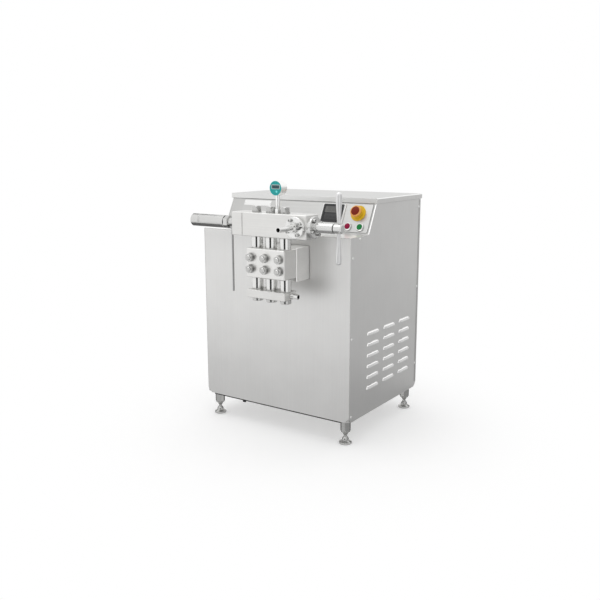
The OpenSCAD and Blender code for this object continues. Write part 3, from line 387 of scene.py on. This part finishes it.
# %% [markdown]
# ## Broken edges on the solids
# No real edge is razor sharp: sheet edges are rounded by the press and machined blocks are filed. A
# softened copy of a solid stands for its node. Its coincident points are welded, its flat triangles
# are joined into whole faces, and a Bevel modifier rounds what is left. Solids that nobody can see
# inside the cabinet keep their own mesh and only get their finish.

# %% Helpers for softened copies
weld_distance, flat_turn, sharp_turn = 1e-6, math.radians(0.2), math.radians(30)


def as_piece(name, work, turn=35):
    """An object from a bmesh, smooth except where faces meet at more than the given turn."""
    mesh = bpy.data.meshes.new(name)
    bmesh.ops.recalc_face_normals(work, faces=work.faces)
    for face in work.faces:
        face.smooth = True
    work.to_mesh(mesh)
    work.free()
    mesh.set_sharp_from_angle(angle=math.radians(turn))
    piece = bpy.data.objects.new(name, mesh)
    scene.collection.objects.link(piece)
    return piece


def dress(piece, body, slot, *finishes):
    """Gives a piece its finishes, by default the finish of its record slot, and the body that it moves with.
    """
    piece.data.materials.clear()
    for finish in finishes or (finish_of[slot],):
        piece.data.materials.append(finish)
    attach(piece, body)
    return piece


def round_off(piece, width, segments=2):
    bevel = piece.modifiers.new("Broken edges", "BEVEL")
    bevel.width, bevel.segments = width, segments
    bevel.limit_method, bevel.angle_limit = "ANGLE", sharp_turn
    bevel.harden_normals = True


def soften(node, width, *finishes, segments=2):
    """A rounded copy of a CAD node that stands for it."""
    work = bmesh.new()
    work.from_mesh(nodes[node].data)
    bmesh.ops.remove_doubles(work, verts=work.verts, dist=weld_distance)
    bmesh.ops.dissolve_limit(work, angle_limit=flat_turn, verts=work.verts, edges=work.edges)
    piece = as_piece(node + "_dressed", work)
    if "custom_normal" in piece.data.attributes:
        piece.data.attributes.remove(piece.data.attributes["custom_normal"])
    round_off(piece, width, segments)
    dress(piece, body_of[node], slot_of[node], *finishes)
    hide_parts(node)
    return piece


def paint(piece, choose):
    """Gives each face the finish whose number the rule chooses."""
    for face in piece.data.polygons:
        face.material_index = choose(face)


print("softening helpers ready")

# %% Copies in the finish of their slot
edge_widths = {
    "front_panel": 0.0012,
    "left_side_panel": 0.0009,
    "rear_panel": 0.0009,
    "control_plate": 0.0010,
    "base_pan": 0.0008,
    "discharge_block": 0.0008,
    "suction_block": 0.0008,
    "relief_block": 0.0008,
    "valve_sleeves": 0.0006,
    "inlet_pipe": 0.0004,
    "outlet_pipe": 0.0004,
    "relief_drain": 0.0004,
    "leg_sockets": 0.0006,
    "foot_front_left": 0.0005,
    "foot_front_right": 0.0005,
    "foot_rear_left": 0.0005,
    "foot_rear_right": 0.0005,
    "panel_meter": 0.0008,
    "estop_base": 0.0005,
    "button_bezels": 0.0006,
    "start_button": 0.0008,
    "stop_button": 0.0008,
}
dressed = {node: soften(node, width) for node, width in edge_widths.items()}
print("softened:", len(dressed))

# %% Lid and console
# The lid has one finish on top, one on its front and rear lips and one on its sides: shaded and lit
# copies of one sheet finish, painted shade on the top and painted light on the lips. Its sheet is
# folded down at the sides with a larger radius that carries a painted highlight. The console's ledge
# carries a painted highlight, and its slope a darker copy of the sheet finish, which is painted shade.
lid = soften("top_lid", 0.0015, lid_top_painted_shade, lid_lip_painted_light, finish_of["satin_steel"], bright_steel_and_painted_highlight, segments=3)
paint(lid, lambda face: 1 if abs(face.normal.y) > 0.5 else 2 if abs(face.normal.x) > 0.5 else 0)
lid_low, lid_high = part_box("top_lid")
fold_radius, fold_index, touching = 0.003, 3, 1e-4


def is_side_fold(edge):
    """True for an edge that runs back along the top of the lid's left or right side."""
    ends = [vert.co for vert in edge.verts]
    on_top = min(end.z for end in ends) > lid_high.z - touching
    at_side = min(min(end.x - lid_low.x, lid_high.x - end.x) for end in ends) < touching
    return on_top and at_side and abs(ends[0].x - ends[1].x) < touching


work = bmesh.new()
work.from_mesh(lid.data)
side_folds = [edge for edge in work.edges if is_side_fold(edge)]
bmesh.ops.bevel(
    work, geom=side_folds, offset=fold_radius, segments=4, profile=0.5, affect="EDGES", material=fold_index
)
work.to_mesh(lid.data)
work.free()
dressed["top_lid"] = lid
console = soften("console_panel", 0.0008, console_painted_shade, bright_steel_and_painted_highlight)
paint(console, lambda face: 1 if face.normal.z > 0.95 else 0)
dressed["console_panel"] = console
print("folds at the lid's sides:", len(side_folds))

# %% Pump head and valves
head_finishes = {
    "crosshead_housing": (0.0010, housing_painted_light),
    "head_nuts": (0.0005, nut_finish),
    "valve_caps": (0.0005, nut_finish),
    "pump_block": (0.0008, pump_block_painted_light),
    "spring_housing": (0.0005, turned_finish),
    "handle_spindle": (0.0005, turned_finish),
    "relief_housing": (0.0005, relief_finish),
    "relief_cap": (0.0005, relief_finish),
    "handle_bar": (0.0004, bar_finish),
}
for node, (width, finish) in head_finishes.items():
    dressed[node] = soften(node, width, finish)
print("softened:", len(dressed))

# %% Louvred panel and stop mushroom
# The pressed hoods stand out of the right panel's face and take a near-white painted highlight, and
# the mushroom's rim lies outside its dark middle and takes a painted highlight with a painted
# reflection of the yellow plate, so one measure of each face tells which finish it takes.
hood_start, rim_start = right_face + 0.0004, 0.0155
louvred = soften("right_side_panel", 0.0006, finish_of["satin_steel"], hood_painted_highlight)
paint(louvred, lambda face: 1 if face.center.x > hood_start else 0)
dressed["right_side_panel"] = louvred
mushroom = soften("estop_head", 0.0008, finish_of["stop_red"], stop_rim_painted_highlight)
stop_low, stop_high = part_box("estop_head")
stop_middle = (stop_low + stop_high) / 2
stop_axis = Vector((0, -slope_rise, slope_depth)).normalized()


def from_stop_axis(point):
    aside = point - stop_middle
    return (aside - stop_axis * aside.dot(stop_axis)).length


paint(mushroom, lambda face: 1 if from_stop_axis(face.center) > rim_start else 0)
dressed["estop_head"] = mushroom
print("softened:", len(dressed))

# %% Finishes of the solids that stay
for node, solid in nodes.items():
    if node not in dressed:
        solid.data.materials.clear()
        solid.data.materials.append(finish_of[slot_of[node]])
print("finished as they are:", len(nodes) - len(dressed))

# %% [markdown]
# ## Tools for small pieces
# Screws, rings and buttons are turned: a profile of radius and height is swept round an axis. Where a
# radius is marked as six-sided the ring follows a hexagon, which gives a socket or a nut from the same
# tool. Plates are rounded rectangles with a thickness.

# %% Lathe
def standing(place, axis):
    """The matrix that stands a piece drawn along +Z at a place, along an axis."""
    return Matrix.Translation(place) @ Vector(axis).to_track_quat("Z", "Y").to_matrix().to_4x4()


def hexagon(radius, angle):
    """How far a hexagon with this inner radius reaches at an angle."""
    return radius / math.cos((angle + math.pi / 6) % (math.pi / 3) - math.pi / 6)


def lathe(work, profile, matrix, steps):
    """Sweeps (radius, height) or (radius, height, "six") round Z and returns the faces of each stretch."""
    rings = []
    for radius, height, *six in profile:
        ring = []
        for i in range(steps if radius > 0 else 1):
            angle = 2 * math.pi * i / steps
            reach = hexagon(radius, angle) if six else radius
            point = Vector((reach * math.cos(angle), reach * math.sin(angle), height))
            ring.append(work.verts.new(matrix @ point))
        rings.append(ring)
    stretches = []
    for low, high in zip(rings, rings[1:]):
        faces = []
        for i in range(steps):
            j = (i + 1) % steps
            corners = [low[i % len(low)], low[j % len(low)], high[j % len(high)], high[i % len(high)]]
            faces.append(work.faces.new(list(dict.fromkeys(corners))))
        stretches.append(faces)
    return stretches


def second_finish(stretches):
    for faces in stretches:
        for face in faces:
            face.material_index = 1


print("lathe ready")

# %% Plate
def plate(work, width, height, thick, corner, matrix, steps=5):
    """A rounded rectangle from z = 0 to its thickness, centred on the matrix."""
    outline = []
    for turn, (x, y) in enumerate(((1, 1), (-1, 1), (-1, -1), (1, -1))):
        middle_x, middle_y = x * (width / 2 - corner), y * (height / 2 - corner)
        for i in range(steps + 1):
            angle = math.pi / 2 * (turn + i / steps)
            outline.append((middle_x + corner * math.cos(angle), middle_y + corner * math.sin(angle)))
    low, high = ([work.verts.new(matrix @ Vector((x, y, z))) for x, y in outline] for z in (0.0, thick))
    work.faces.new(low)
    work.faces.new(high)
    for i in range(len(outline)):
        j = (i + 1) % len(outline)
        work.faces.new((low[i], low[j], high[j], high[i]))


def fit(name, work, slot, *finishes, edge=0.0, turn=35):
    """A small piece on the machine's body, its edges broken where a width is given."""
    piece = as_piece(name, work, turn)
    if edge:
        round_off(piece, edge)
    dress(piece, "machine", slot, *finishes)


print("plate ready")

# %% [markdown]
# ## Screws in the sheets
# The side panels are held by button-head screws with a hexagon socket. The photograph shows some on
# the right panel, near its front edge and under the slope, and the other sheets are held the same way.

# %% Panel screws
def button_screw(work, matrix, size=0.0045):
    """A low domed head with a six-sided socket, the socket's faces in the second finish."""
    dome = [(1.0, 0.0), (1.0, 0.12), (0.93, 0.32), (0.72, 0.50), (0.52, 0.55)]
    socket = [(0.42, 0.55, "six"), (0.42, 0.2, "six"), (0.0, 0.2)]
    profile = [(size * radius, size * height, *six) for radius, height, *six in dome + socket]
    second_finish(lathe(work, profile, matrix, 24)[len(dome):])


front_row = [(-0.121, 0.643), (-0.123, 0.374), (-0.121, 0.104), (-0.076, 0.702)]
rear_row = [(0.358, 0.780), (0.358, 0.480), (0.358, 0.180)]
side_screws = front_row + rear_row
rear_screws = [(x, z) for x in (-0.302, -0.016, 0.270) for z in (0.110, 0.455, 0.795)]
rear_low, rear_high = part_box("rear_panel")
work = bmesh.new()
for y, z in side_screws:
    for face_x, way in ((left_face, -1), (right_face, 1)):
        button_screw(work, standing((face_x, y, z), (way, 0, 0)))
for x, z in rear_screws:
    button_screw(work, standing((x, rear_high.y, z), (0, 1, 0)))
fit("panel_screws", work, "polished_steel", screw_finish, finish_of["hard_alloy"])
print("panel screws:", 2 * len(side_screws) + len(rear_screws))

# %% [markdown]
# ## Folds at the rear edges
# The rear panel is folded round onto the side panels. A narrow strip of darker steel along each fold is
# painted shade.

# %% Painted shade along the rear folds
fold_width, fold_thick, fold_corner = 0.012, 0.0006, 0.0004
fold_height = rear_high.z - rear_low.z - 0.040
fold_y = rear_high.y - fold_width / 2 - 0.001
work = bmesh.new()
for face_x, way in ((left_face, -1), (right_face, 1)):
    middle = (face_x, fold_y, (rear_low.z + rear_high.z) / 2)
    plate(work, fold_width, fold_height, fold_thick, fold_corner, standing(middle, (way, 0, 0)), 2)
fit("rear_fold_shade", work, "satin_steel", rear_fold_painted_shade)
print("rear folds:", 2)

# %% [markdown]
# ## The strip under the front panel
# A dark strip below the front panel paints the shadow line under its bottom edge, with one small lug on it.

# %% Painted shadow strip
front_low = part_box("front_panel")[0]
work = bmesh.new()
for x, width, height, thick, inset, drop in (
    (-0.016, 0.560, 0.004, 0.0020, 0.003, 0.0018),  # the strip
    (-0.154, 0.012, 0.007, 0.0050, 0.005, 0.0060),  # its lug
):
    place = (x, front_low.y + inset, front_low.z - drop)
    plate(work, width, height, thick, 0.0005, standing(place, (0, -1, 0)), 2)
fit("shadow_strip", work, "belt_rubber")
print("shadow strip under z =", round(front_low.z, 4))

# %% [markdown]
# ## Bolts of the two flanges
# The outlet flange and the spring housing are held by socket-head bolts. The CAD solid has their plain
# round heads. A head with a six-sided socket is fitted over each, a little taller so that its socket
# is a real recess.

# %% Flange bolts
bolt_circle, bolt_turn = 0.026, math.radians(30)
outlet_flange_y, housing_flange_x = -0.293, 0.232


def socket_bolt(work, matrix):
    radius, height, chamfer = 0.0052, 0.0082, 0.0008
    rim, hole, floor_height = radius * 0.62, radius * 0.55, 0.0062
    side = [(radius, 0.0), (radius, height - chamfer), (radius - chamfer, height), (rim, height)]
    socket = [(hole, height, "six"), (hole, floor_height, "six"), (0.0, floor_height)]
    second_finish(lathe(work, side + socket, matrix, 24)[len(side):])


work = bmesh.new()
for i in range(4):
    angle = bolt_turn + i * math.pi / 2
    a, b = bolt_circle * math.cos(angle), bolt_circle * math.sin(angle)
    socket_bolt(work, standing((outlet_x + a, outlet_flange_y, gallery_z + b), (0, -1, 0)))
    socket_bolt(work, standing((housing_flange_x, head_y + b, gallery_z - a), (1, 0, 0)))
# The sockets of the bolts take the painted recess shade.
fit("flange_bolts", work, "polished_steel", finish_of["foot_steel"], painted_recess_shade)
print("flange bolts:", 8)

# %% [markdown]
# ## Threads on the studs
# The six nuts on the pump block stand on studs, and their ends show a few turns of thread. At this
# size a stack of sharp rings reads as thread, and it needs no helix.

# %% Stud threads
stud_x = [0.002, 0.059, 0.116]
stud_z = [0.607, 0.645]
stud_y, root, crest, pitch = -0.2945, 0.0068, 0.0075, 0.0013
thread = [(root, 0.0)]
for turn in range(3):
    thread += [(crest, 0.0006 + turn * pitch), (root, 0.0012 + turn * pitch)]
work = bmesh.new()
for x in stud_x:
    for z in stud_z:
        lathe(work, thread, standing((x, stud_y, z), (0, -1, 0)), 32)
fit("stud_threads", work, "polished_steel", turn=20)
print("threaded studs:", len(stud_x) * len(stud_z))

# %% [markdown]
# ## The pressure gauge
# The gauge has a teal front and a pale steel body behind it. One softened copy carries both finishes:
# the faces at the front take the teal, the rest take bright steel. Its dial has a dark window in a
# pale frame, with a round key below.

# %% Gauge body
gauge_low, gauge_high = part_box("pressure_gauge")
gauge_radius, front_depth, front_radius = 0.023, 0.011, 0.024
gauge_middle = Vector(((gauge_low.x + gauge_high.x) / 2, gauge_low.y, gauge_high.z - gauge_radius))


def gauge_rule(face):
    in_front = face.center.y < gauge_low.y + front_depth
    return 0 if in_front and face.center.z > gauge_middle.z - front_radius else 1


gauge = soften("pressure_gauge", 0.0006, finish_of["gauge_plastic"], bright_steel_and_painted_highlight)
paint(gauge, gauge_rule)
print("gauge middle:", tuple(round(v, 4) for v in gauge_middle))

# %% Gauge dial
dial_depth = 0.002
dial_y = gauge_low.y + dial_depth
facing_front = Matrix.Rotation(math.pi / 2, 4, "X")
dial_finish = moulded("Dial", (0.01, 0.42, 0.41), 0.45, (0.05, 0.45, 0.44))
pale_frame = moulded("Pale frame", (0.62, 0.70, 0.70), 0.40, (0.80, 0.82, 0.82))
window_finish = moulded("Dark window", (0.020, 0.070, 0.085), 0.30, (0.03, 0.08, 0.09), bump=0.0)
key_finish = moulded("Cyan key", (0.22, 0.95, 0.93), 0.35, (0.4, 0.95, 0.95))
dial_pieces = (  # name, finish, width, height, thickness, corner, across, up
    ("gauge_dial", dial_finish, 0.0405, 0.0405, 0.0006, 0.0202, 0.0, 0.0),
    ("gauge_frame", pale_frame, 0.0325, 0.0140, 0.0014, 0.0020, 0.0, 0.0040),
    ("gauge_window", window_finish, 0.0285, 0.0105, 0.0018, 0.0012, 0.0, 0.0040),
    ("gauge_key", key_finish, 0.0070, 0.0070, 0.0020, 0.0034, 0.0035, -0.0110),
)
for name, finish, width, height, thick, corner, x, z in dial_pieces:
    place = Matrix.Translation((gauge_middle.x + x, dial_y, gauge_middle.z + z))
    work = bmesh.new()
    plate(work, width, height, thick, corner, place @ facing_front, 8)
    fit(name, work, "gauge_plastic", finish, edge=0.0003)
print("dial pieces:", len(dial_pieces))

# %% [markdown]
# ## The console
# Everything on the slope is placed by how far it is across, how far up the slope and how far out of
# it. Strips of near-white steel paint a highlight along the side panels' edges, along the ledge and up
# the slope. The meter gets an unlit screen above a row of keys and a pale surround, and a bare plate
# is riveted at the upper left.

# %% Places on the slope
slope_turn = math.atan2(slope_rise, slope_depth)


def on_slope(x, s, out):
    """The matrix of a place on the slope: x across, s up the slope and out of it."""
    foot = Matrix.Translation((x, slope_foot_y, slope_foot_z)) @ Matrix.Rotation(slope_turn, 4, "X")
    return foot @ Matrix.Translation((0, s, out))


print("slope:", round(math.degrees(slope_turn), 2), "degrees")

# %% Painted highlights along the sheet edges
highlight_width, highlight_thick, highlight_corner, highlight_inset = 0.0040, 0.0012, 0.0005, 0.0022
slope_highlight, slope_highlight_s = 0.1115, 0.0562
ledge_highlight, ledge_highlight_y, ledge_highlight_z = 0.1180, -0.0750, 0.708
work = bmesh.new()
for x in (left_face + highlight_inset, right_face - highlight_inset):
    on_ledge = Matrix.Translation((x, ledge_highlight_y, ledge_highlight_z))
    plate(work, highlight_width, slope_highlight, highlight_thick, highlight_corner, on_slope(x, slope_highlight_s, 0.0), 2)
    plate(work, highlight_width, ledge_highlight, highlight_thick, highlight_corner, on_ledge, 2)
fit("sheet_edge_highlights", work, "satin_steel", bright_steel_and_painted_highlight, edge=0.0004)
print("sheet edges:", 4)

# %% Meter screen
meter_x, meter_out = 0.134, 0.0071
screen_s, keys_s = 0.0825, 0.0550
field_width, field_thick, field_corner = 0.0660, 0.0007, 0.0020
screen_finish = moulded("Grey screen", (0.150, 0.150, 0.145), 0.40, (0.12, 0.12, 0.12), bump=0.0)
work = bmesh.new()
plate(work, field_width, 0.0250, field_thick, field_corner, on_slope(meter_x, screen_s, meter_out))
fit("meter_screen", work, "meter_plastic", screen_finish)
print("meter screen made")

# %% Unlit figures
# Each bar of a figure is given by its place, in quarters of the figure's size, and whether it stands.
digit_dim = moulded("Unlit segment", (0.085, 0.085, 0.080), 0.5, (0.09, 0.09, 0.09))
bars = [(0, 2, 0), (1, 1, 1), (1, -1, 1), (0, -2, 0), (-1, -1, 1), (-1, 1, 1), (0, 0, 0)]
figures, figure_size, figure_out = 4, 0.0150, 0.0079
first_figure_x = meter_x - 0.0175
long_bar, short_bar, bar_corner = figure_size * 0.40, figure_size * 0.09, figure_size * 0.03
work = bmesh.new()
for figure in range(figures):
    for dx, dy, tall in bars:
        wide, high = (short_bar, long_bar) if tall else (long_bar, short_bar)
        x = first_figure_x + figure * figure_size * 0.78 + dx * figure_size * 0.25
        place = on_slope(x, screen_s + dy * figure_size * 0.24, figure_out)
        plate(work, wide, high, 0.0002, bar_corner, place, 2)
fit("meter_figures", work, "meter_plastic", digit_dim)
print("unlit figures:", figures)

# %% Meter keys
key_count, key_pitch, key_out = 4, 0.016, 0.0077
first_key_x = meter_x - 0.0240
keys_finish = moulded("Meter keys", (0.045, 0.045, 0.047), 0.5, (0.20, 0.20, 0.20))
work = bmesh.new()
plate(work, field_width, 0.0220, field_thick, field_corner, on_slope(meter_x, keys_s, meter_out))
for i in range(key_count):
    plate(work, 0.0110, 0.0070, 0.0012, 0.0015, on_slope(first_key_x + i * key_pitch, keys_s, key_out))
fit("meter_keys", work, "meter_plastic", keys_finish, edge=0.0003)
print("meter keys:", key_count)

# %% Pale frame round the meter
surround_s, surround_out, surround_thick, surround_corner = 0.068, 0.003, 0.0030, 0.0010
post_width, post_length, post_aside = 0.0065, 0.0664, 0.04345
rail_length, rail_width, rail_aside = 0.0934, 0.0030, 0.0347
surround_finish = moulded("Pale surround", (0.94, 0.94, 0.93), 0.4, (0.95, 0.95, 0.95))
work = bmesh.new()
for side in (-1, 1):
    post = on_slope(meter_x + side * post_aside, surround_s, surround_out)
    rail = on_slope(meter_x, surround_s + side * rail_aside, surround_out)
    plate(work, post_width, post_length, surround_thick, surround_corner, post, 2)
    plate(work, rail_length, rail_width, surround_thick, surround_corner, rail, 2)
fit("meter_surround", work, "plate_steel", surround_finish, edge=0.0005)
print("meter surround made")

# %% Bare plate with rivets
label_x, label_s, label_out, label_thick = -0.200, 0.094, 0.003, 0.0009
rivet_aside = 0.0575
work = bmesh.new()
plate(work, 0.122, 0.021, label_thick, 0.0015, on_slope(label_x, label_s, label_out))
fit("bare_plate", work, "plate_steel", label_finish, edge=0.0003)
rivet = [(0.0016, 0.0), (0.0015, 0.0006), (0.0009, 0.0011), (0.0, 0.0012)]
work = bmesh.new()
for side in (-1, 1):
    lathe(work, rivet, on_slope(label_x + side * rivet_aside, label_s, label_out + label_thick), 16)
fit("plate_rivets", work, "polished_steel")
print("bare plate and its rivets made")

# %% [markdown]
# ## Insides of the pipes
# The inlet and outlet pipes are open tubes, and their insides look black because little light gets
# in. A thin near-black sleeve inside each bore paints that shade.

# %% Pipe bores
bore_shade_radius, bore_shade_start = 0.00648, 0.0006
bores = (  # mouth, way in, length
    ((0.166, head_y, 0.5235), (-1, 0, 0), 0.037),  # inlet
    ((outlet_x, -0.376, gallery_z), (0, 1, 0), 0.100),  # outlet
)
work = bmesh.new()
for mouth, way_in, length in bores:
    bore_shade = [(bore_shade_radius, bore_shade_start), (bore_shade_radius, length), (0.0, length)]
    lathe(work, bore_shade, standing(mouth, way_in), 36)
fit("pipe_bore_shade", work, "polished_steel", painted_recess_shade)
print("pipe bore shade:", len(bores))

# %% [markdown]
# ## The studio
# The machine stands on a pale floor in even white light. The floor is an ordinary matt surface, so it
# keeps the shadow. It also glows a little, and fades to white with distance, where the camera or a
# reflection sees it. Cards shape the steel: grey ones at the right, in front and on the floor give the
# panels their tones, and dark ones give the polished pieces the bands that make them read as metal.
# The cards are seen by reflections alone.

# %% Floor
floor_half, floor_glow = 14.0, 0.29
fade_start, fade_end = 0.30, 0.98


def background_rays(tree):
    """1 for the rays that see the background: straight from the camera, or by way of metal or glass."""
    rays = tree.nodes.new("ShaderNodeLightPath")
    seen = math_node(tree, "MAXIMUM", rays.outputs["Is Camera Ray"], rays.outputs["Is Glossy Ray"])
    return math_node(tree, "MAXIMUM", seen, rays.outputs["Is Transmission Ray"])


floor_corners = [(x * floor_half, y * floor_half, 0) for x, y in ((-1, -1), (1, -1), (1, 1), (-1, 1))]
mesh = bpy.data.meshes.new("floor")
mesh.from_pydata(floor_corners, [], [(0, 1, 2, 3)])
floor = bpy.data.objects.new("floor", mesh)
scene.collection.objects.link(floor)
floor_finish = bpy.data.materials.new("Pale floor")
floor_finish.use_nodes = True
tree = floor_finish.node_tree
tree.nodes.clear()
matt = tree.nodes.new("ShaderNodeBsdfDiffuse")
matt.inputs["Color"].default_value = (0.82, 0.82, 0.82, 1)
glow, white = tree.nodes.new("ShaderNodeEmission"), tree.nodes.new("ShaderNodeEmission")
seen = background_rays(tree)
tree.links.new(math_node(tree, "MULTIPLY", seen, floor_glow), glow.inputs["Strength"])
near = tree.nodes.new("ShaderNodeAddShader")
tree.links.new(matt.outputs[0], near.inputs[0])
tree.links.new(glow.outputs[0], near.inputs[1])
distance = vector_math(tree, "LENGTH", own_place(tree)).outputs["Value"]
fade = spread(tree, distance, fade_start, fade_end)
fade.node.interpolation_type = "SMOOTHSTEP"
blend = tree.nodes.new("ShaderNodeMixShader")
tree.links.new(math_node(tree, "MULTIPLY", fade, seen), blend.inputs["Fac"])
tree.links.new(near.outputs[0], blend.inputs[1])
tree.links.new(white.outputs[0], blend.inputs[2])
tree.links.new(blend.outputs[0], tree.nodes.new("ShaderNodeOutputMaterial").inputs["Surface"])
mesh.materials.append(floor_finish)
print("floor side:", 2 * floor_half)

# %% World and lamp
light_strength, seen_strength = 0.78, 1.0
world = bpy.data.worlds.new("Studio")
scene.world = world
world.use_nodes = True
tree = world.node_tree
background = tree.nodes["Background"]
background.inputs["Color"].default_value = (1, 1, 1, 1)
strength = spread(tree, background_rays(tree), 0.0, 1.0, light_strength, seen_strength)
tree.links.new(strength, background.inputs["Strength"])
lamp = bpy.data.lights.new("Overhead", "AREA")
lamp.shape, lamp.size, lamp.energy = "DISK", 2.4, 12
holder = bpy.data.objects.new("Overhead", lamp)
lamp_place, lamp_target = Vector((-0.4, -0.6, 3.0)), Vector((0, 0, 0.5))
holder.matrix_world = standing(lamp_place, lamp_place - lamp_target)
scene.collection.objects.link(holder)
print("world and lamp:", world.name, holder.name)

# %% Helpers for cards
def card(name, corners, tone):
    mesh = bpy.data.meshes.new(name)
    mesh.from_pydata(corners, [], [(0, 1, 2, 3)])
    sheet = bpy.data.objects.new(name, mesh)
    scene.collection.objects.link(sheet)
    finish = bpy.data.materials.new(name)
    finish.use_nodes = True
    shader = finish.node_tree.nodes["Principled BSDF"]
    shader.inputs["Base Color"].default_value = (0, 0, 0, 1)
    shader.inputs["Specular IOR Level"].default_value = 0.0
    shader.inputs["Emission Color"].default_value = (tone, tone, tone, 1)
    shader.inputs["Emission Strength"].default_value = 1.0
    mesh.materials.append(finish)
    sheet.visible_camera = sheet.visible_diffuse = sheet.visible_shadow = False


def level_card(name, left, right, start, end, height, tone):
    """A level card between two places across and two places in depth."""
    corners = [(left, start, height), (right, start, height), (right, end, height), (left, end, height)]
    card(name, corners, tone)


def upright_card(name, start, end, low, high, tone):
    """A standing card over a line on the floor, between two heights."""
    card(name, [(*start, low), (*end, low), (*end, high), (*start, high)], tone)


print("card helpers ready")

# %% Grey cards
card_x, card_top, card_lift = 1.1, 1.15, 0.003
for name, start, end, tone in (("near", -0.5, 1.3, 0.535), ("far", 1.3, 3.5, 0.635)):
    upright_card("Grey card right " + name, (card_x, start), (card_x, end), 0.0, card_top, tone)
for name, start, end, tone in (("near", -0.45, 0.55, 0.385), ("far", 0.55, 3.0, 0.54)):
    level_card("Grey card floor " + name, 0.31, card_x, start, end, card_lift, tone)
for name, start, end, tone in (
    ("near", -0.15, -0.80, 0.61),
    ("middle", -0.80, -1.30, 0.82),
    ("far", -1.30, -1.90, 0.94),
):
    level_card("Grey card front " + name, -1.5, 0.35, start, end, card_lift, tone)
print("grey cards:", 7)

# %% Dark cards
upright_card("Dark card front", (0.086, -1.745), (0.963, -1.443), 0.0, 0.9, 0.04)
tilted = [(-2.3, 0.55, 2.85), (-2.05, 0.55, 2.85), (-2.05, 1.75, 1.85), (-2.3, 1.75, 1.85)]
card("Dark card behind", tilted, 0.05)
strip_front, strip_back, strip_z = -0.290, -0.205, 0.708
for name, left, right, tone in (("left", -0.52, -0.12, 0.16), ("right", 0.145, 0.30, 0.32)):
    level_card("Dark strip " + name, left, right, strip_front, strip_back, strip_z, tone)
print("dark cards and strips under the valves:", 4)

# %% Dark cards at the feet
foot_reach, foot_low, foot_high = 0.07, 0.004, 0.066
to_camera = math.atan2(camera.location.y, camera.location.x)
for node in ("foot_front_left", "foot_front_right", "foot_rear_left", "foot_rear_right"):
    low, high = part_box(node)
    middle_x, middle_y = (low.x + high.x) / 2, (low.y + high.y) / 2
    for side in (-1, 1):
        turns = [to_camera + side * math.radians(turn) for turn in (95, 128)]
        start, end = (
            (middle_x + foot_reach * math.cos(turn), middle_y + foot_reach * math.sin(turn)) for turn in turns
        )
        upright_card(f"Dark card {node} {side}", start, end, foot_low, foot_high, 0.06)
print("dark cards at the feet:", 8)

# %% [markdown]
# ## Close
# The view transform is set to Standard.

# %% View transform
scene.view_settings.view_transform = "Standard"
